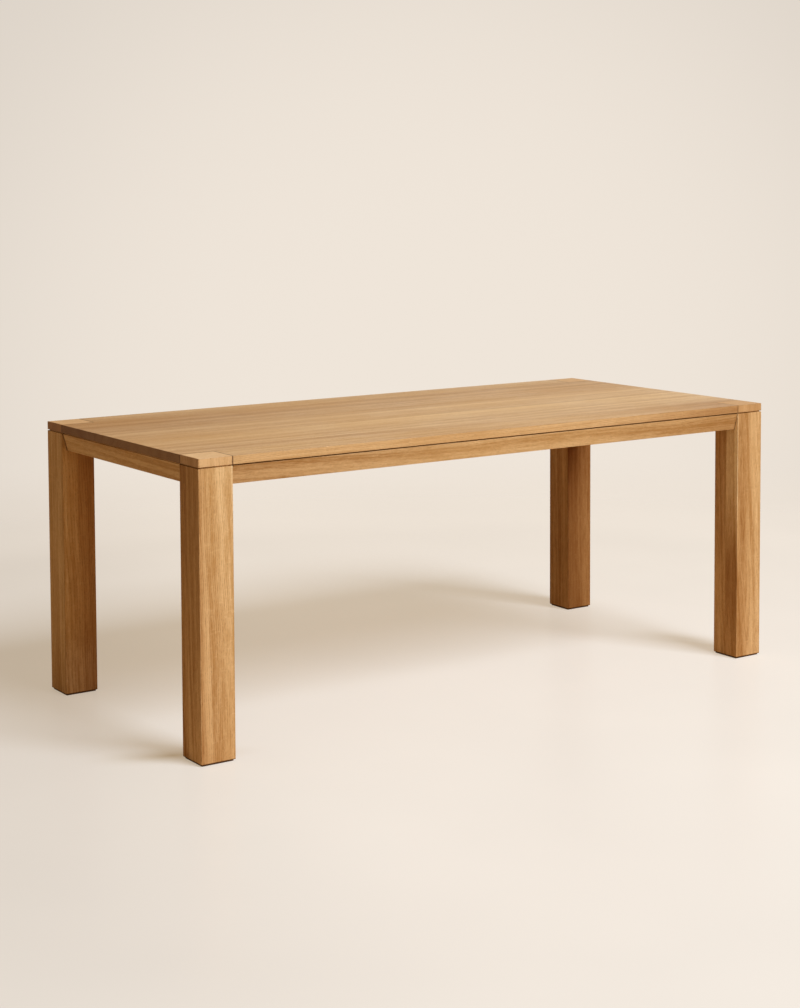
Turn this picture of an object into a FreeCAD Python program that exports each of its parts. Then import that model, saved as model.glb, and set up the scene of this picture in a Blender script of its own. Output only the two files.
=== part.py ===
"""Dining table whose four square legs stand flush with the corners of its top.

Millimetres.  +Z is up, the long sides face -Y (front) and +Y (back), and the origin
lies on the floor below the middle of the top.  Everything that repeats at the four
corners is made once, for the back right corner (+X, +Y), and mirrored to the others.
"""

import FreeCAD, Part

import math
import os

from FreeCAD import Placement, Rotation, Vector

# ---- Top: boards glued edge to edge, with a square block let in at each corner -------
top_length = 1900.0
top_thickness = 22.0
wide_board_width = 208.0
wide_board_count = 3
narrow_board_width = 64.0
board_arris = 0.4
outer_arris = 1.0

tongue_thickness = 6.0
tongue_width = 20.0
tongue_stop = 40.0

block_dowel_radius = 4.0
block_dowel_bite = 16.0
block_dowel_spacing = 48.0

# ---- Legs and the glide pads under them ----------------------------------------------
leg_side = 96.0
leg_length = 734.0
leg_corner_flat = 18.0

pad_thickness = 4.0
pad_inset = 3.5
pad_corner_radius = 3.0
pad_screw_offset = 24.0

# ---- Recess under the top, which reads as a dark line all round -----------------------
shadow_gap_height = 3.0
shadow_gap_depth = 4.0

# ---- Aprons, whose outer faces lean inwards towards the floor -------------------------
apron_height = 50.0
apron_thickness = 30.0
apron_setback = 1.0
apron_undercut = 13.0

apron_dowel_radius = 4.0
apron_dowel_bite = 25.0
apron_dowel_inset = 24.0
apron_dowel_spacing = 20.0

# ---- Cross rails, which keep the glued top flat ---------------------------------------
rail_width = 45.0
rail_height = 30.0
rail_offset = 300.0
rail_dowel_radius = 4.0
rail_dowel_bite = 14.0
rail_dowel_spacing = 24.0
rail_screw_counterbore = 12.0
rail_screw_slot_travel = 6.0

# ---- Corner plates with the hanger bolts that draw the legs in -------------------------
plate_thickness = 3.0
plate_height = 34.0
plate_wing = 40.0
plate_lip = 8.0
plate_leg_gap = 6.0
plate_bend_radius = 2.0
plate_screw_spacing = 18.0

bolt_radius = 4.0
bolt_wood_bite = 45.0
bolt_end = 5.0
bolt_point = 1.0
bolt_spacing = 18.0
bolt_plate_hole_radius = 4.5
washer_radius = 8.0
washer_thickness = 1.6
nut_across_flats = 13.0
nut_height = 6.5

# ---- Steel clips that hold the top down and let its boards swell -----------------------
clip_thickness = 2.0
clip_width = 20.0
clip_drop = 12.0
clip_tongue = 8.0
clip_foot = 22.0
clip_web_gap = 2.0
clip_hole_from_web = 13.0
outer_clip_to_plate = 200.0
side_clip_to_plate = 70.0
inner_clip_offset = 150.0

# ---- Wood screws: head radius, head height, shank radius, length under the head --------
plate_screw_size = (4.2, 2.4, 2.1, 16.0)
clip_screw_size = (4.2, 2.4, 2.1, 16.0)
rail_screw_size = (4.6, 3.0, 2.5, 33.0)
pad_screw_size = (3.8, 2.2, 1.9, 18.0)
screw_point_length = 4.0
screw_socket_across_flats = 2.5
screw_socket_depth = 1.4
pad_screw_sink = 0.6

# ---- Clearances ------------------------------------------------------------------------
glue_gap = 0.1
thread_gap = 0.05
socket_spare = 1.0
kerf_gap = 0.2
hole_gap = 0.3
cut_over = 1.0
same_place = 1e-3

# ---- Places worked out from the sizes above --------------------------------------------
top_width = 2 * leg_side + wide_board_count * wide_board_width + narrow_board_width
half_length = top_length / 2
half_width = top_width / 2
leg_top = pad_thickness + leg_length
top_surface = leg_top + top_thickness
board_middle = leg_top + top_thickness / 2
leg_inner_x = half_length - leg_side
leg_inner_y = half_width - leg_side
leg_axis_x = half_length - leg_side / 2
leg_axis_y = half_width - leg_side / 2
apron_bottom = leg_top - apron_height
apron_middle = leg_top - apron_height / 2
apron_inner_x = half_length - apron_setback - apron_thickness
apron_inner_y = half_width - apron_setback - apron_thickness

# The corner plate crosses the corner on lines where x + y is constant.
plate_leg_side_sum = leg_inner_x + leg_inner_y + leg_corner_flat - plate_leg_gap * math.sqrt(2)
plate_room_side_sum = plate_leg_side_sum - plate_thickness * math.sqrt(2)
plate_end_x = plate_leg_side_sum - apron_inner_y - plate_wing
plate_end_y = plate_leg_side_sum - apron_inner_x - plate_wing

UP = Vector(0, 0, 1)
ALONG_X = Vector(1, 0, 0)
ALONG_Y = Vector(0, 1, 0)
INTO_CORNER = Vector(1, 1, 0).normalize()

CORNERS = {
    "front_left": (-1, -1),
    "front_right": (1, -1),
    "back_left": (-1, 1),
    "back_right": (1, 1),
}


# ---- Helpers ---------------------------------------------------------------------------
def block(low, high):
    """Box between two opposite corners, each given as (x, y, z)."""
    size = [top - bottom for bottom, top in zip(low, high)]
    return Part.makeBox(*size, Vector(*low))


def prism(outline, start, direction):
    """Solid swept from a flat outline of points, moved by start, along direction."""
    points = [Vector(*point) + start for point in outline]
    face = Part.Face(Part.makePolygon(points + points[:1]))
    return face.extrude(direction)


def turned(profile, start, direction):
    """Solid turned about an axis from (radius, distance along the axis) points."""
    points = [Vector(radius, 0, distance) for radius, distance in profile]
    face = Part.Face(Part.makePolygon(points + points[:1]))
    solid = face.revolve(Vector(0, 0, 0), UP, 360)
    solid.Placement = Placement(start, Rotation(UP, direction))
    return solid


def hexagon(across_flats, height, start, direction):
    """Six-sided prism about an axis."""
    reach = across_flats / math.sqrt(3)
    turns = [math.radians(60 * corner) for corner in range(6)]
    outline = [(reach * math.cos(turn), reach * math.sin(turn), 0) for turn in turns]
    solid = prism(outline, Vector(0, 0, 0), UP * height)
    solid.Placement = Placement(start, Rotation(UP, direction))
    return solid


def dowel(radius, bite, middle, direction):
    """Glued wooden peg that reaches the same bite to each side of its middle."""
    return Part.makeCylinder(radius, 2 * bite, middle - direction * bite, direction)


def dowel_socket(radius, bite, middle, direction):
    """Hole that takes a dowel, on both sides of its middle."""
    return dowel(radius + glue_gap, bite + socket_spare, middle, direction)


def screw(size, seat, direction, countersunk=False):
    """Wood screw whose head bears on seat and whose point lies along direction."""
    head_radius, head_height, shank_radius, length = size
    outer_face = 0 if countersunk else -head_height
    under_head = outer_face + head_height
    profile = [(0, outer_face), (head_radius, outer_face)]
    if not countersunk:
        profile.append((head_radius, under_head))
    profile.append((shank_radius, under_head))
    profile.append((shank_radius, length - screw_point_length))
    profile.append((0, length))
    socket = hexagon(
        screw_socket_across_flats,
        screw_socket_depth + cut_over,
        seat + direction * (outer_face - cut_over),
        direction,
    )
    return turned(profile, seat, direction).cut(socket)


def screw_hole(size, seat, direction):
    """Hole in the wood that a screw's shank turns into."""
    shank_radius, length = size[2:]
    return Part.makeCylinder(
        shank_radius + thread_gap, length + socket_spare, seat, direction
    )


def to_corner(shape, corner):
    """Mirrors a shape made for the back right corner into another corner."""
    placed = shape.copy()
    side_x, side_y = CORNERS[corner]
    if side_x < 0:
        placed = placed.mirror(Vector(0, 0, 0), ALONG_X)
    if side_y < 0:
        placed = placed.mirror(Vector(0, 0, 0), ALONG_Y)
    return placed


def at_corners(shapes):
    """Every shape of a list at each of the four corners."""
    return [to_corner(shape, corner) for corner in CORNERS for shape in shapes]


def cut_away(solid, tools):
    """Cuts out of a solid those of the tools that reach it."""
    reached = [tool for tool in tools if solid.BoundBox.intersect(tool.BoundBox)]
    return solid.cut(reached) if reached else solid


def edges_where(shape, test):
    """Edges whose two ends both pass a test of their vertices' points."""
    return [
        edge
        for edge in shape.Edges
        if len(edge.Vertexes) == 2 and all(test(vertex.Point) for vertex in edge.Vertexes)
    ]


def upright_edges(shape):
    """Edges whose two ends lie one above the other."""
    return [
        edge
        for edge in shape.Edges
        if math.dist(edge.Vertexes[0].Point[:2], edge.Vertexes[-1].Point[:2]) < same_place
    ]


def upright_edges_over(shape, corners):
    """Upright edges that stand over any of some (x, y) points."""
    return [
        edge
        for edge in upright_edges(shape)
        if any(math.dist(edge.Vertexes[0].Point[:2], corner) < same_place for corner in corners)
    ]


# ---- Top -------------------------------------------------------------------------------
def board(low_x, high_x, low_y, high_y, arris):
    """One board of the top, with the arris broken along its upper edges."""
    plank = block((low_x, low_y, leg_top), (high_x, high_y, top_surface))
    upper = edges_where(plank, lambda point: point.z > board_middle)
    return plank.makeChamfer(arris, upper)


def inner_board_edges():
    """Y of each joint between the boards, from the back edge board to the front one."""
    edges = [leg_inner_y]
    for _ in range(wide_board_count):
        edges.append(edges[-1] - wide_board_width)
    edges.append(edges[-1] - narrow_board_width)
    return edges


def top_boards():
    """The six boards, before their grooves and holes."""
    joints = inner_board_edges()
    names = [f"top_board_wide_{number}" for number in range(1, wide_board_count + 1)]
    names.append("top_board_narrow")
    boards = {}
    for name, back, front in zip(names, joints, joints[1:]):
        boards[name] = board(-half_length, half_length, front, back, board_arris)
    boards["top_board_back_edge"] = board(
        -leg_inner_x, leg_inner_x, leg_inner_y, half_width, board_arris
    )
    boards["top_board_front_edge"] = board(
        -leg_inner_x, leg_inner_x, -half_width, -leg_inner_y, board_arris
    )
    return boards


def corner_block():
    """Square block over a leg, which takes the place of the edge board's end."""
    cube = board(leg_inner_x, half_length, leg_inner_y, half_width, outer_arris)
    outer_corner = (half_length, half_width)
    return cube.makeChamfer(outer_arris, upright_edges_over(cube, [outer_corner]))


def tongue_at(joint_y, gap):
    """Loose tongue across the joint at joint_y, or its groove when gap isn't zero."""
    half_run = leg_inner_x - tongue_stop + gap
    half_reach = tongue_width / 2 + gap
    half_depth = tongue_thickness / 2 + gap
    return block(
        (-half_run, joint_y - half_reach, board_middle - half_depth),
        (half_run, joint_y + half_reach, board_middle + half_depth),
    )


def block_dowel_places():
    """Middle and direction of each dowel between a corner block and its two boards."""
    places = []
    for offset in (-block_dowel_spacing / 2, block_dowel_spacing / 2):
        into_edge_board = Vector(leg_inner_x, leg_axis_y + offset, board_middle)
        into_inner_board = Vector(leg_axis_x + offset, leg_inner_y, board_middle)
        places.append((into_edge_board, ALONG_X))
        places.append((into_inner_board, ALONG_Y))
    return places


# ---- Legs and pads ---------------------------------------------------------------------
def leg():
    """Leg with broken edges, the recess under the top and the flat for the corner plate."""
    post = block(
        (leg_inner_x, leg_inner_y, pad_thickness), (half_length, half_width, leg_top)
    )
    foot = edges_where(post, lambda point: point.z < apron_bottom)
    post = post.makeChamfer(outer_arris, upright_edges(post) + foot)
    recess_low = leg_top - shadow_gap_height
    recess_high = leg_top + cut_over
    past_x = half_length + cut_over
    past_y = half_width + cut_over
    side_recess = block(
        (half_length - shadow_gap_depth, leg_inner_y - cut_over, recess_low),
        (past_x, past_y, recess_high),
    )
    long_recess = block(
        (leg_inner_x - cut_over, half_width - shadow_gap_depth, recess_low),
        (past_x, past_y, recess_high),
    )
    flat_outline = [
        (-cut_over, -cut_over, 0),
        (leg_corner_flat + cut_over, -cut_over, 0),
        (-cut_over, leg_corner_flat + cut_over, 0),
    ]
    flat = prism(
        flat_outline,
        Vector(leg_inner_x, leg_inner_y, apron_bottom),
        UP * (apron_height + cut_over),
    )
    return post.cut([side_recess, long_recess, flat])


def pad_screw_seats():
    """Points on the pad's screws where their heads start, across the pad's diagonal."""
    seats = []
    for side in (-1, 1):
        x = leg_axis_x + side * pad_screw_offset
        y = leg_axis_y + side * pad_screw_offset
        seats.append(Vector(x, y, pad_screw_sink))
    return seats


def glide_pad():
    """Square pad under a leg, a little smaller than the leg."""
    low = (leg_inner_x + pad_inset, leg_inner_y + pad_inset, 0)
    high = (half_length - pad_inset, half_width - pad_inset, pad_thickness)
    pad = block(low, high)
    pad = pad.makeFillet(pad_corner_radius, upright_edges(pad))
    head_radius, head_height, shank_radius = pad_screw_size[:3]
    for seat in pad_screw_seats():
        entry = Vector(seat.x, seat.y, 0)
        profile = [
            (0, -cut_over),
            (head_radius + hole_gap, -cut_over),
            (head_radius + hole_gap, pad_screw_sink),
            (shank_radius + hole_gap, pad_screw_sink + head_height),
            (shank_radius + hole_gap, pad_thickness + cut_over),
            (0, pad_thickness + cut_over),
        ]
        pad = pad.cut(turned(profile, entry, UP))
    return pad


# ---- Aprons ----------------------------------------------------------------------------
def apron_section():
    """Section of an apron as (distance in from the leg's outer face, height)."""
    recess_bottom = leg_top - shadow_gap_height
    inner = apron_setback + apron_thickness
    return [
        (apron_setback + apron_undercut, apron_bottom),
        (inner, apron_bottom),
        (inner, leg_top),
        (shadow_gap_depth, leg_top),
        (shadow_gap_depth, recess_bottom),
        (apron_setback, recess_bottom),
    ]


def back_apron():
    """Long apron between the two back legs."""
    outline = [(0, half_width - inwards, height) for inwards, height in apron_section()]
    return prism(outline, Vector(-leg_inner_x, 0, 0), ALONG_X * (2 * leg_inner_x))


def right_apron():
    """Short apron between the two right legs."""
    outline = [(half_length - inwards, 0, height) for inwards, height in apron_section()]
    return prism(outline, Vector(0, -leg_inner_y, 0), ALONG_Y * (2 * leg_inner_y))


def apron_dowel_places():
    """Middle and direction of each dowel that locates an apron's end on the leg."""
    places = []
    for offset in (-apron_dowel_spacing / 2, apron_dowel_spacing / 2):
        height = apron_middle + offset
        long_end = Vector(leg_inner_x, half_width - apron_dowel_inset, height)
        short_end = Vector(half_length - apron_dowel_inset, leg_inner_y, height)
        places.append((long_end, ALONG_X))
        places.append((short_end, ALONG_Y))
    return places


# ---- Corner plates ---------------------------------------------------------------------
def corner_plate():
    """Bent steel plate across a corner, with two wings and a lip in each apron."""
    wing_y = apron_inner_y - plate_thickness
    wing_x = apron_inner_x - plate_thickness
    outline = [
        (plate_end_x, wing_y),
        (plate_room_side_sum - wing_y, wing_y),
        (wing_x, plate_room_side_sum - wing_x),
        (wing_x, plate_end_y),
        (apron_inner_x + plate_lip, plate_end_y),
        (apron_inner_x + plate_lip, plate_end_y + plate_thickness),
        (apron_inner_x, plate_end_y + plate_thickness),
        (apron_inner_x, plate_leg_side_sum - apron_inner_x),
        (plate_leg_side_sum - apron_inner_y, apron_inner_y),
        (plate_end_x + plate_thickness, apron_inner_y),
        (plate_end_x + plate_thickness, apron_inner_y + plate_lip),
        (plate_end_x, apron_inner_y + plate_lip),
    ]
    bottom = Vector(0, 0, apron_middle - plate_height / 2)
    plate = prism([(x, y, 0) for x, y in outline], bottom, UP * plate_height)
    plate = rounded_bends(plate, outline[0:1] + outline[3:4], plate_bend_radius)
    plate = rounded_bends(plate, outline[1:3], plate_bend_radius)
    plate = rounded_bends(plate, outline[7:9], plate_bend_radius + plate_thickness)
    holes = [
        Part.makeCylinder(
            bolt_plate_hole_radius,
            plate_leg_side_sum,
            seat - INTO_CORNER * plate_leg_side_sum / 2,
            INTO_CORNER,
        )
        for seat in bolt_places()
    ]
    shank_radius = plate_screw_size[2]
    for seat, direction in plate_screw_places():
        start = seat - direction * cut_over
        reach = plate_thickness + 2 * cut_over
        holes.append(Part.makeCylinder(shank_radius + hole_gap, reach, start, direction))
    return plate.cut(holes)


def rounded_bends(plate, corners, radius):
    """Rounds the upright edges that stand over some corners of the plate's outline."""
    return plate.makeFillet(radius, upright_edges_over(plate, corners))


def plate_kerfs():
    """Saw kerfs in the two aprons that take the plate's lips."""
    low = apron_bottom - cut_over
    high = leg_top + cut_over
    width = plate_thickness + kerf_gap
    depth = plate_lip + kerf_gap
    in_long_apron = block(
        (plate_end_x - kerf_gap, apron_inner_y - cut_over, low),
        (plate_end_x + width, apron_inner_y + depth, high),
    )
    in_short_apron = block(
        (apron_inner_x - cut_over, plate_end_y - kerf_gap, low),
        (apron_inner_x + depth, plate_end_y + width, high),
    )
    return [in_long_apron, in_short_apron]


def plate_screw_places():
    """Where each plate screw's head bears on a wing, and the way the screw points."""
    along = (plate_wing + plate_thickness) / 2
    places = []
    for offset in (-plate_screw_spacing / 2, plate_screw_spacing / 2):
        height = apron_middle + offset
        on_long_wing = Vector(plate_end_x + along, apron_inner_y - plate_thickness, height)
        on_short_wing = Vector(apron_inner_x - plate_thickness, plate_end_y + along, height)
        places.append((on_long_wing, ALONG_Y))
        places.append((on_short_wing, ALONG_X))
    return places


def bolt_places():
    """Points on the plate's face away from the leg where the hanger bolts come through."""
    inwards = (plate_room_side_sum - leg_inner_x - leg_inner_y) / 2
    x = leg_inner_x + inwards
    y = leg_inner_y + inwards
    return [
        Vector(x, y, apron_middle + offset) for offset in (-bolt_spacing / 2, bolt_spacing / 2)
    ]


def hanger_bolt(seat):
    """Double-ended bolt, screwed into the leg and carrying a washer and nut."""
    inner_end = washer_thickness + nut_height + bolt_end
    into_leg = plate_thickness + plate_leg_gap + bolt_wood_bite
    profile = [
        (0, -inner_end),
        (bolt_radius - bolt_point, -inner_end),
        (bolt_radius, bolt_point - inner_end),
        (bolt_radius, into_leg - bolt_radius),
        (0, into_leg),
    ]
    return turned(profile, seat, INTO_CORNER)


def hanger_bolt_hole(seat):
    """Hole in the leg for a hanger bolt."""
    reach = plate_thickness + plate_leg_gap + bolt_wood_bite + socket_spare
    return Part.makeCylinder(bolt_radius + thread_gap, reach, seat, INTO_CORNER)


def washer(seat):
    """Flat washer between the plate and the nut."""
    start = seat - INTO_CORNER * washer_thickness
    ring = Part.makeCylinder(washer_radius, washer_thickness, start, INTO_CORNER)
    bore = Part.makeCylinder(bolt_radius + hole_gap, washer_thickness, start, INTO_CORNER)
    return ring.cut(bore)


def nut(seat):
    """Hexagon nut on a hanger bolt, with its corners turned off."""
    start = seat - INTO_CORNER * (washer_thickness + nut_height)
    body = hexagon(nut_across_flats, nut_height, start, INTO_CORNER)
    corner_radius = nut_across_flats / math.sqrt(3)
    face_radius = nut_across_flats / 2
    turned_profile = [
        (0, 0),
        (face_radius, 0),
        (corner_radius, corner_radius - face_radius),
        (corner_radius, nut_height),
        (0, nut_height),
    ]
    blank = turned(turned_profile, start, INTO_CORNER)
    bore = Part.makeCylinder(bolt_radius + thread_gap, nut_height, start, INTO_CORNER)
    return body.common(blank).cut(bore)


# ---- Clips -----------------------------------------------------------------------------
def clip_section():
    """Section of a clip as (distance out from the apron's inner face, height)."""
    tongue_top = leg_top - clip_drop
    web_face = -clip_web_gap
    web_back = web_face - clip_thickness
    foot_end = web_face - clip_foot
    return [
        (clip_tongue, tongue_top - clip_thickness),
        (web_back, tongue_top - clip_thickness),
        (web_back, leg_top - clip_thickness),
        (foot_end, leg_top - clip_thickness),
        (foot_end, leg_top),
        (web_face, leg_top),
        (web_face, tongue_top),
        (clip_tongue, tongue_top),
    ]


def clip_offsets():
    """X of the clips on half of a long apron, and Y of the one on half of a short apron."""
    return [inner_clip_offset, plate_end_x - outer_clip_to_plate], plate_end_y - side_clip_to_plate


def clip_screw_places():
    """Where each clip screw's head bears."""
    along_long, on_short = clip_offsets()
    height = leg_top - clip_thickness
    inwards = clip_web_gap + clip_hole_from_web
    places = [Vector(x, apron_inner_y - inwards, height) for x in along_long]
    places.append(Vector(apron_inner_x - inwards, on_short, height))
    return places


def clips():
    """The clips of one corner's half aprons."""
    along_long, on_short = clip_offsets()
    half = clip_width / 2
    pieces = []
    for x in along_long:
        outline = [(0, apron_inner_y + out, height) for out, height in clip_section()]
        pieces.append(prism(outline, Vector(x - half, 0, 0), ALONG_X * clip_width))
    outline = [(apron_inner_x + out, 0, height) for out, height in clip_section()]
    pieces.append(prism(outline, Vector(0, on_short - half, 0), ALONG_Y * clip_width))
    shank_radius = clip_screw_size[2]
    holes = [
        Part.makeCylinder(
            shank_radius + hole_gap, 2 * clip_thickness, place - UP * clip_thickness / 2, UP
        )
        for place in clip_screw_places()
    ]
    return [cut_away(piece, holes) for piece in pieces]


def clip_slots():
    """Slots in the aprons that take the clips' tongues."""
    along_long, on_short = clip_offsets()
    half = clip_width / 2 + kerf_gap
    high = leg_top - clip_drop
    low = high - clip_thickness - kerf_gap
    depth = clip_tongue + kerf_gap
    slots = [
        block(
            (x - half, apron_inner_y - cut_over, low), (x + half, apron_inner_y + depth, high)
        )
        for x in along_long
    ]
    slots.append(
        block(
            (apron_inner_x - cut_over, on_short - half, low),
            (apron_inner_x + depth, on_short + half, high),
        )
    )
    return slots


# ---- Cross rails -----------------------------------------------------------------------
def right_rail():
    """Rail under the top, from apron to apron, with slotted screw holes."""
    half = rail_width / 2
    rail = block(
        (rail_offset - half, -apron_inner_y, leg_top - rail_height),
        (rail_offset + half, apron_inner_y, leg_top),
    )
    head_radius, _, shank_radius, _ = rail_screw_size
    low = leg_top - rail_height - cut_over
    cuts = []
    for seat in rail_screw_seats():
        start = Vector(seat.x, seat.y, low)
        cuts.append(slot_hole(start, head_radius + hole_gap, seat.z - low))
        cuts.append(slot_hole(start, shank_radius + hole_gap, rail_height + 2 * cut_over))
    return rail.cut(cuts)


def slot_hole(start, radius, depth):
    """Upright slot whose long way runs along Y, across the boards."""
    half = rail_screw_slot_travel / 2
    ends = [
        Part.makeCylinder(radius, depth, start + ALONG_Y * offset, UP)
        for offset in (-half, half)
    ]
    middle = block(
        (start.x - radius, start.y - half, start.z),
        (start.x + radius, start.y + half, start.z + depth),
    )
    return middle.fuse(ends)


def rail_screw_seats():
    """Where the heads of the right rail's screws bear, under the middle of each wide board."""
    height = leg_top - rail_height + rail_screw_counterbore
    joints = inner_board_edges()[: wide_board_count + 1]
    return [
        Vector(rail_offset, (back + front) / 2, height) for back, front in zip(joints, joints[1:])
    ]


def rail_dowel_places():
    """Middle and direction of each dowel between the right rail and the back apron."""
    height = leg_top - rail_height / 2
    return [
        (Vector(rail_offset + offset, apron_inner_y, height), ALONG_Y)
        for offset in (-rail_dowel_spacing / 2, rail_dowel_spacing / 2)
    ]


# ---- Assembly --------------------------------------------------------------------------
def mirrored_x(shape):
    """The shape and its image on the other side of the table's length."""
    return [shape, shape.mirror(Vector(0, 0, 0), ALONG_X)]


def joinery():
    """Groups of equal small pieces, each with the holes that they need in the wood."""
    block_dowels = block_dowel_places()
    apron_dowels = apron_dowel_places()
    rail_dowels = rail_dowel_places()
    pegs = {
        "block_dowels": (block_dowels, block_dowel_radius, block_dowel_bite),
        "apron_dowels": (apron_dowels, apron_dowel_radius, apron_dowel_bite),
        "rail_dowels": (rail_dowels, rail_dowel_radius, rail_dowel_bite),
    }
    groups = {}
    holes = []
    for name, (places, radius, bite) in pegs.items():
        groups[name] = at_corners([dowel(radius, bite, *place) for place in places])
        holes += at_corners([dowel_socket(radius, bite, *place) for place in places])

    plate_screws = plate_screw_places()
    clip_screws = [(place, UP) for place in clip_screw_places()]
    pad_screws = [(place, UP) for place in pad_screw_seats()]
    screws = {
        "plate_screws": (plate_screws, plate_screw_size, False),
        "clip_screws": (clip_screws, clip_screw_size, False),
        "pad_screws": (pad_screws, pad_screw_size, True),
    }
    for name, (places, size, sunk) in screws.items():
        groups[name] = at_corners([screw(size, *place, sunk) for place in places])
        holes += at_corners([screw_hole(size, *place) for place in places])

    groups["rail_screws"] = []
    for seat in rail_screw_seats():
        groups["rail_screws"] += mirrored_x(screw(rail_screw_size, seat, UP))
        holes += mirrored_x(screw_hole(rail_screw_size, seat, UP))

    bolts = bolt_places()
    groups["hanger_bolts"] = at_corners([hanger_bolt(seat) for seat in bolts])
    groups["bolt_washers"] = at_corners([washer(seat) for seat in bolts])
    groups["bolt_nuts"] = at_corners([nut(seat) for seat in bolts])
    groups["top_clips"] = at_corners(clips())
    holes += at_corners([hanger_bolt_hole(seat) for seat in bolts])
    holes += at_corners(plate_kerfs() + clip_slots())
    return groups, holes


def woodwork():
    """The wooden pieces that joinery is cut into, by name."""
    pieces = top_boards()
    for corner in CORNERS:
        pieces[f"corner_block_{corner}"] = to_corner(corner_block(), corner)
        pieces[f"leg_{corner}"] = to_corner(leg(), corner)
    pieces["apron_back"] = back_apron()
    pieces["apron_front"] = to_corner(back_apron(), "front_right")
    pieces["apron_right"] = right_apron()
    pieces["apron_left"] = to_corner(right_apron(), "back_left")
    return pieces


def table():
    """Every node of the table, by name."""
    groups, holes = joinery()
    joints = inner_board_edges()
    grooves = [tongue_at(joint, glue_gap) for joint in joints]
    nodes = {
        name: cut_away(piece, holes + grooves) for name, piece in woodwork().items()
    }
    rail_sockets = [
        dowel_socket(rail_dowel_radius, rail_dowel_bite, *place)
        for place in rail_dowel_places()
    ]
    rail_cuts = rail_sockets + [to_corner(socket, "front_right") for socket in rail_sockets]
    nodes["cross_rail_right"], nodes["cross_rail_left"] = mirrored_x(
        cut_away(right_rail(), rail_cuts)
    )
    for number, joint in enumerate(joints, start=1):
        nodes[f"board_tongue_{number}"] = tongue_at(joint, 0)
    for corner in CORNERS:
        nodes[f"corner_plate_{corner}"] = to_corner(corner_plate(), corner)
        nodes[f"glide_pad_{corner}"] = to_corner(glide_pad(), corner)
    for name, solids in groups.items():
        nodes[name] = Part.makeCompound(solids)
    return nodes


os.makedirs("parts", exist_ok=True)
for node_name, shape in table().items():
    shape.exportStep(f"parts/{node_name}.step")
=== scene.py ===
"""Looks of a dining table in honey oak: six boards, four corner blocks and four square legs.

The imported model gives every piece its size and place.  This script lays the visible oak
over it as smooth surfaces with rounded arrises, gives each piece its own cut of timber,
dresses the steel and the pads, and sets the table on a plain studio floor.  Lengths are
in metres and angles in degrees.
"""

import logging
import math
from dataclasses import dataclass, field, replace
from enum import Enum

import bmesh
import bpy
import numpy as np
from mathutils import Euler, Matrix, Vector

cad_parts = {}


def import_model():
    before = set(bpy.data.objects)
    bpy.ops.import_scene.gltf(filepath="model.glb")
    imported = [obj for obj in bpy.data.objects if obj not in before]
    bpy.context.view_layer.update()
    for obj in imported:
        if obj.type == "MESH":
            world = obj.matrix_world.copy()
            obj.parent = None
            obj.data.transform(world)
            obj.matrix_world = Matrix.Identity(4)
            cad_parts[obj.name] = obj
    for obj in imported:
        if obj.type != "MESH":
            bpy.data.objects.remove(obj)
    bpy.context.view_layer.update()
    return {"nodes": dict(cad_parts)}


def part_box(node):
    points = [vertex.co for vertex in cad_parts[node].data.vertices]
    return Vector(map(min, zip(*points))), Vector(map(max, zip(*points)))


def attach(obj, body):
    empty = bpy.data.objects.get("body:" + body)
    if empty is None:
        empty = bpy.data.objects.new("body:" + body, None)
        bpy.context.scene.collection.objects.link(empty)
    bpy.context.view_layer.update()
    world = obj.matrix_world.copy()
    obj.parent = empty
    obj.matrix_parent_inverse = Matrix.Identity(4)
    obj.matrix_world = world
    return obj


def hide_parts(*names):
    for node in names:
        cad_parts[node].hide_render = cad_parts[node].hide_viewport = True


LOG = logging.getLogger("dining_table")
ROOT_BODY = "root"
SAME_POINT = 1e-6
# Most noise lies between these values, which an ease then stretches to 0 and 1.
NOISE_SPREAD = (0.3, 0.7)
# A colour ramp holds nothing above 1, so tones are divided before it and multiplied after.
TONE_LIMIT = 2.0

Colour = tuple[float, float, float]
Triple = tuple[float, float, float]
Pair = tuple[float, float]
Socket = bpy.types.NodeSocket


# ---- Surfaces ------------------------------------------------------------------------------
class Axis(Enum):
    """Direction in which a section is carried, or in which grain runs."""

    X = 0
    Y = 1
    Z = 2

    @property
    def unit(self) -> Triple:
        """Unit vector along the axis."""
        return tuple(float(part) for part in np.eye(3)[self.value])

    @property
    def turn_to_x(self) -> Triple:
        """Euler turn, in radians, that lays this axis along X."""
        return ((0.0, 0.0, 0.0), (0.0, 0.0, -math.pi / 2), (0.0, math.pi / 2, 0.0))[self.value]


@dataclass(frozen=True)
class Section:
    """Polygon across a piece, in the two axes that follow the carrying axis in turn.

    A ball of the arris radius rolls inside the polygon.  It rounds each outward corner
    and leaves an inward corner sharp.

    Attributes:
        corners: Corners of the polygon, anticlockwise.
        arris: Radius of the ball.
        steps: Number of flats in each rounded corner.
    """

    corners: tuple[Pair, ...]
    arris: float
    steps: int = 3

    def ring(self, swell: float) -> np.ndarray:
        """Points round the section.

        Each point is its corner, moved in by the arris radius along both sides, plus
        swell times the radius times the ball's own direction there.

        Args:
            swell: 1 for the full section, 0 for the one that the ball's middle follows.

        Returns:
            An array with one row of two numbers for each point.
        """
        corners = np.array(self.corners)
        sides = np.roll(corners, -1, axis=0) - corners
        sides /= np.linalg.norm(sides, axis=1, keepdims=True)
        after = np.stack([sides[:, 1], -sides[:, 0]], axis=1)
        before = np.roll(after, 1, axis=0)
        mitre = (before + after) / (1 + (before * after).sum(axis=1, keepdims=True))
        turn = before[:, 0] * after[:, 1] - before[:, 1] * after[:, 0]
        share = np.linspace(0.0, 1.0, self.steps + 1)[:, None]
        pieces = []
        for corner, first, last, out, bend in zip(corners, before, after, mitre, turn):
            arc = (1 - share) * first + share * last
            arc /= np.linalg.norm(arc, axis=1, keepdims=True)
            directions = arc if bend > 0 else out[None, :]
            pieces.append(corner - self.arris * out + swell * self.arris * directions)
        return np.concatenate(pieces)


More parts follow.
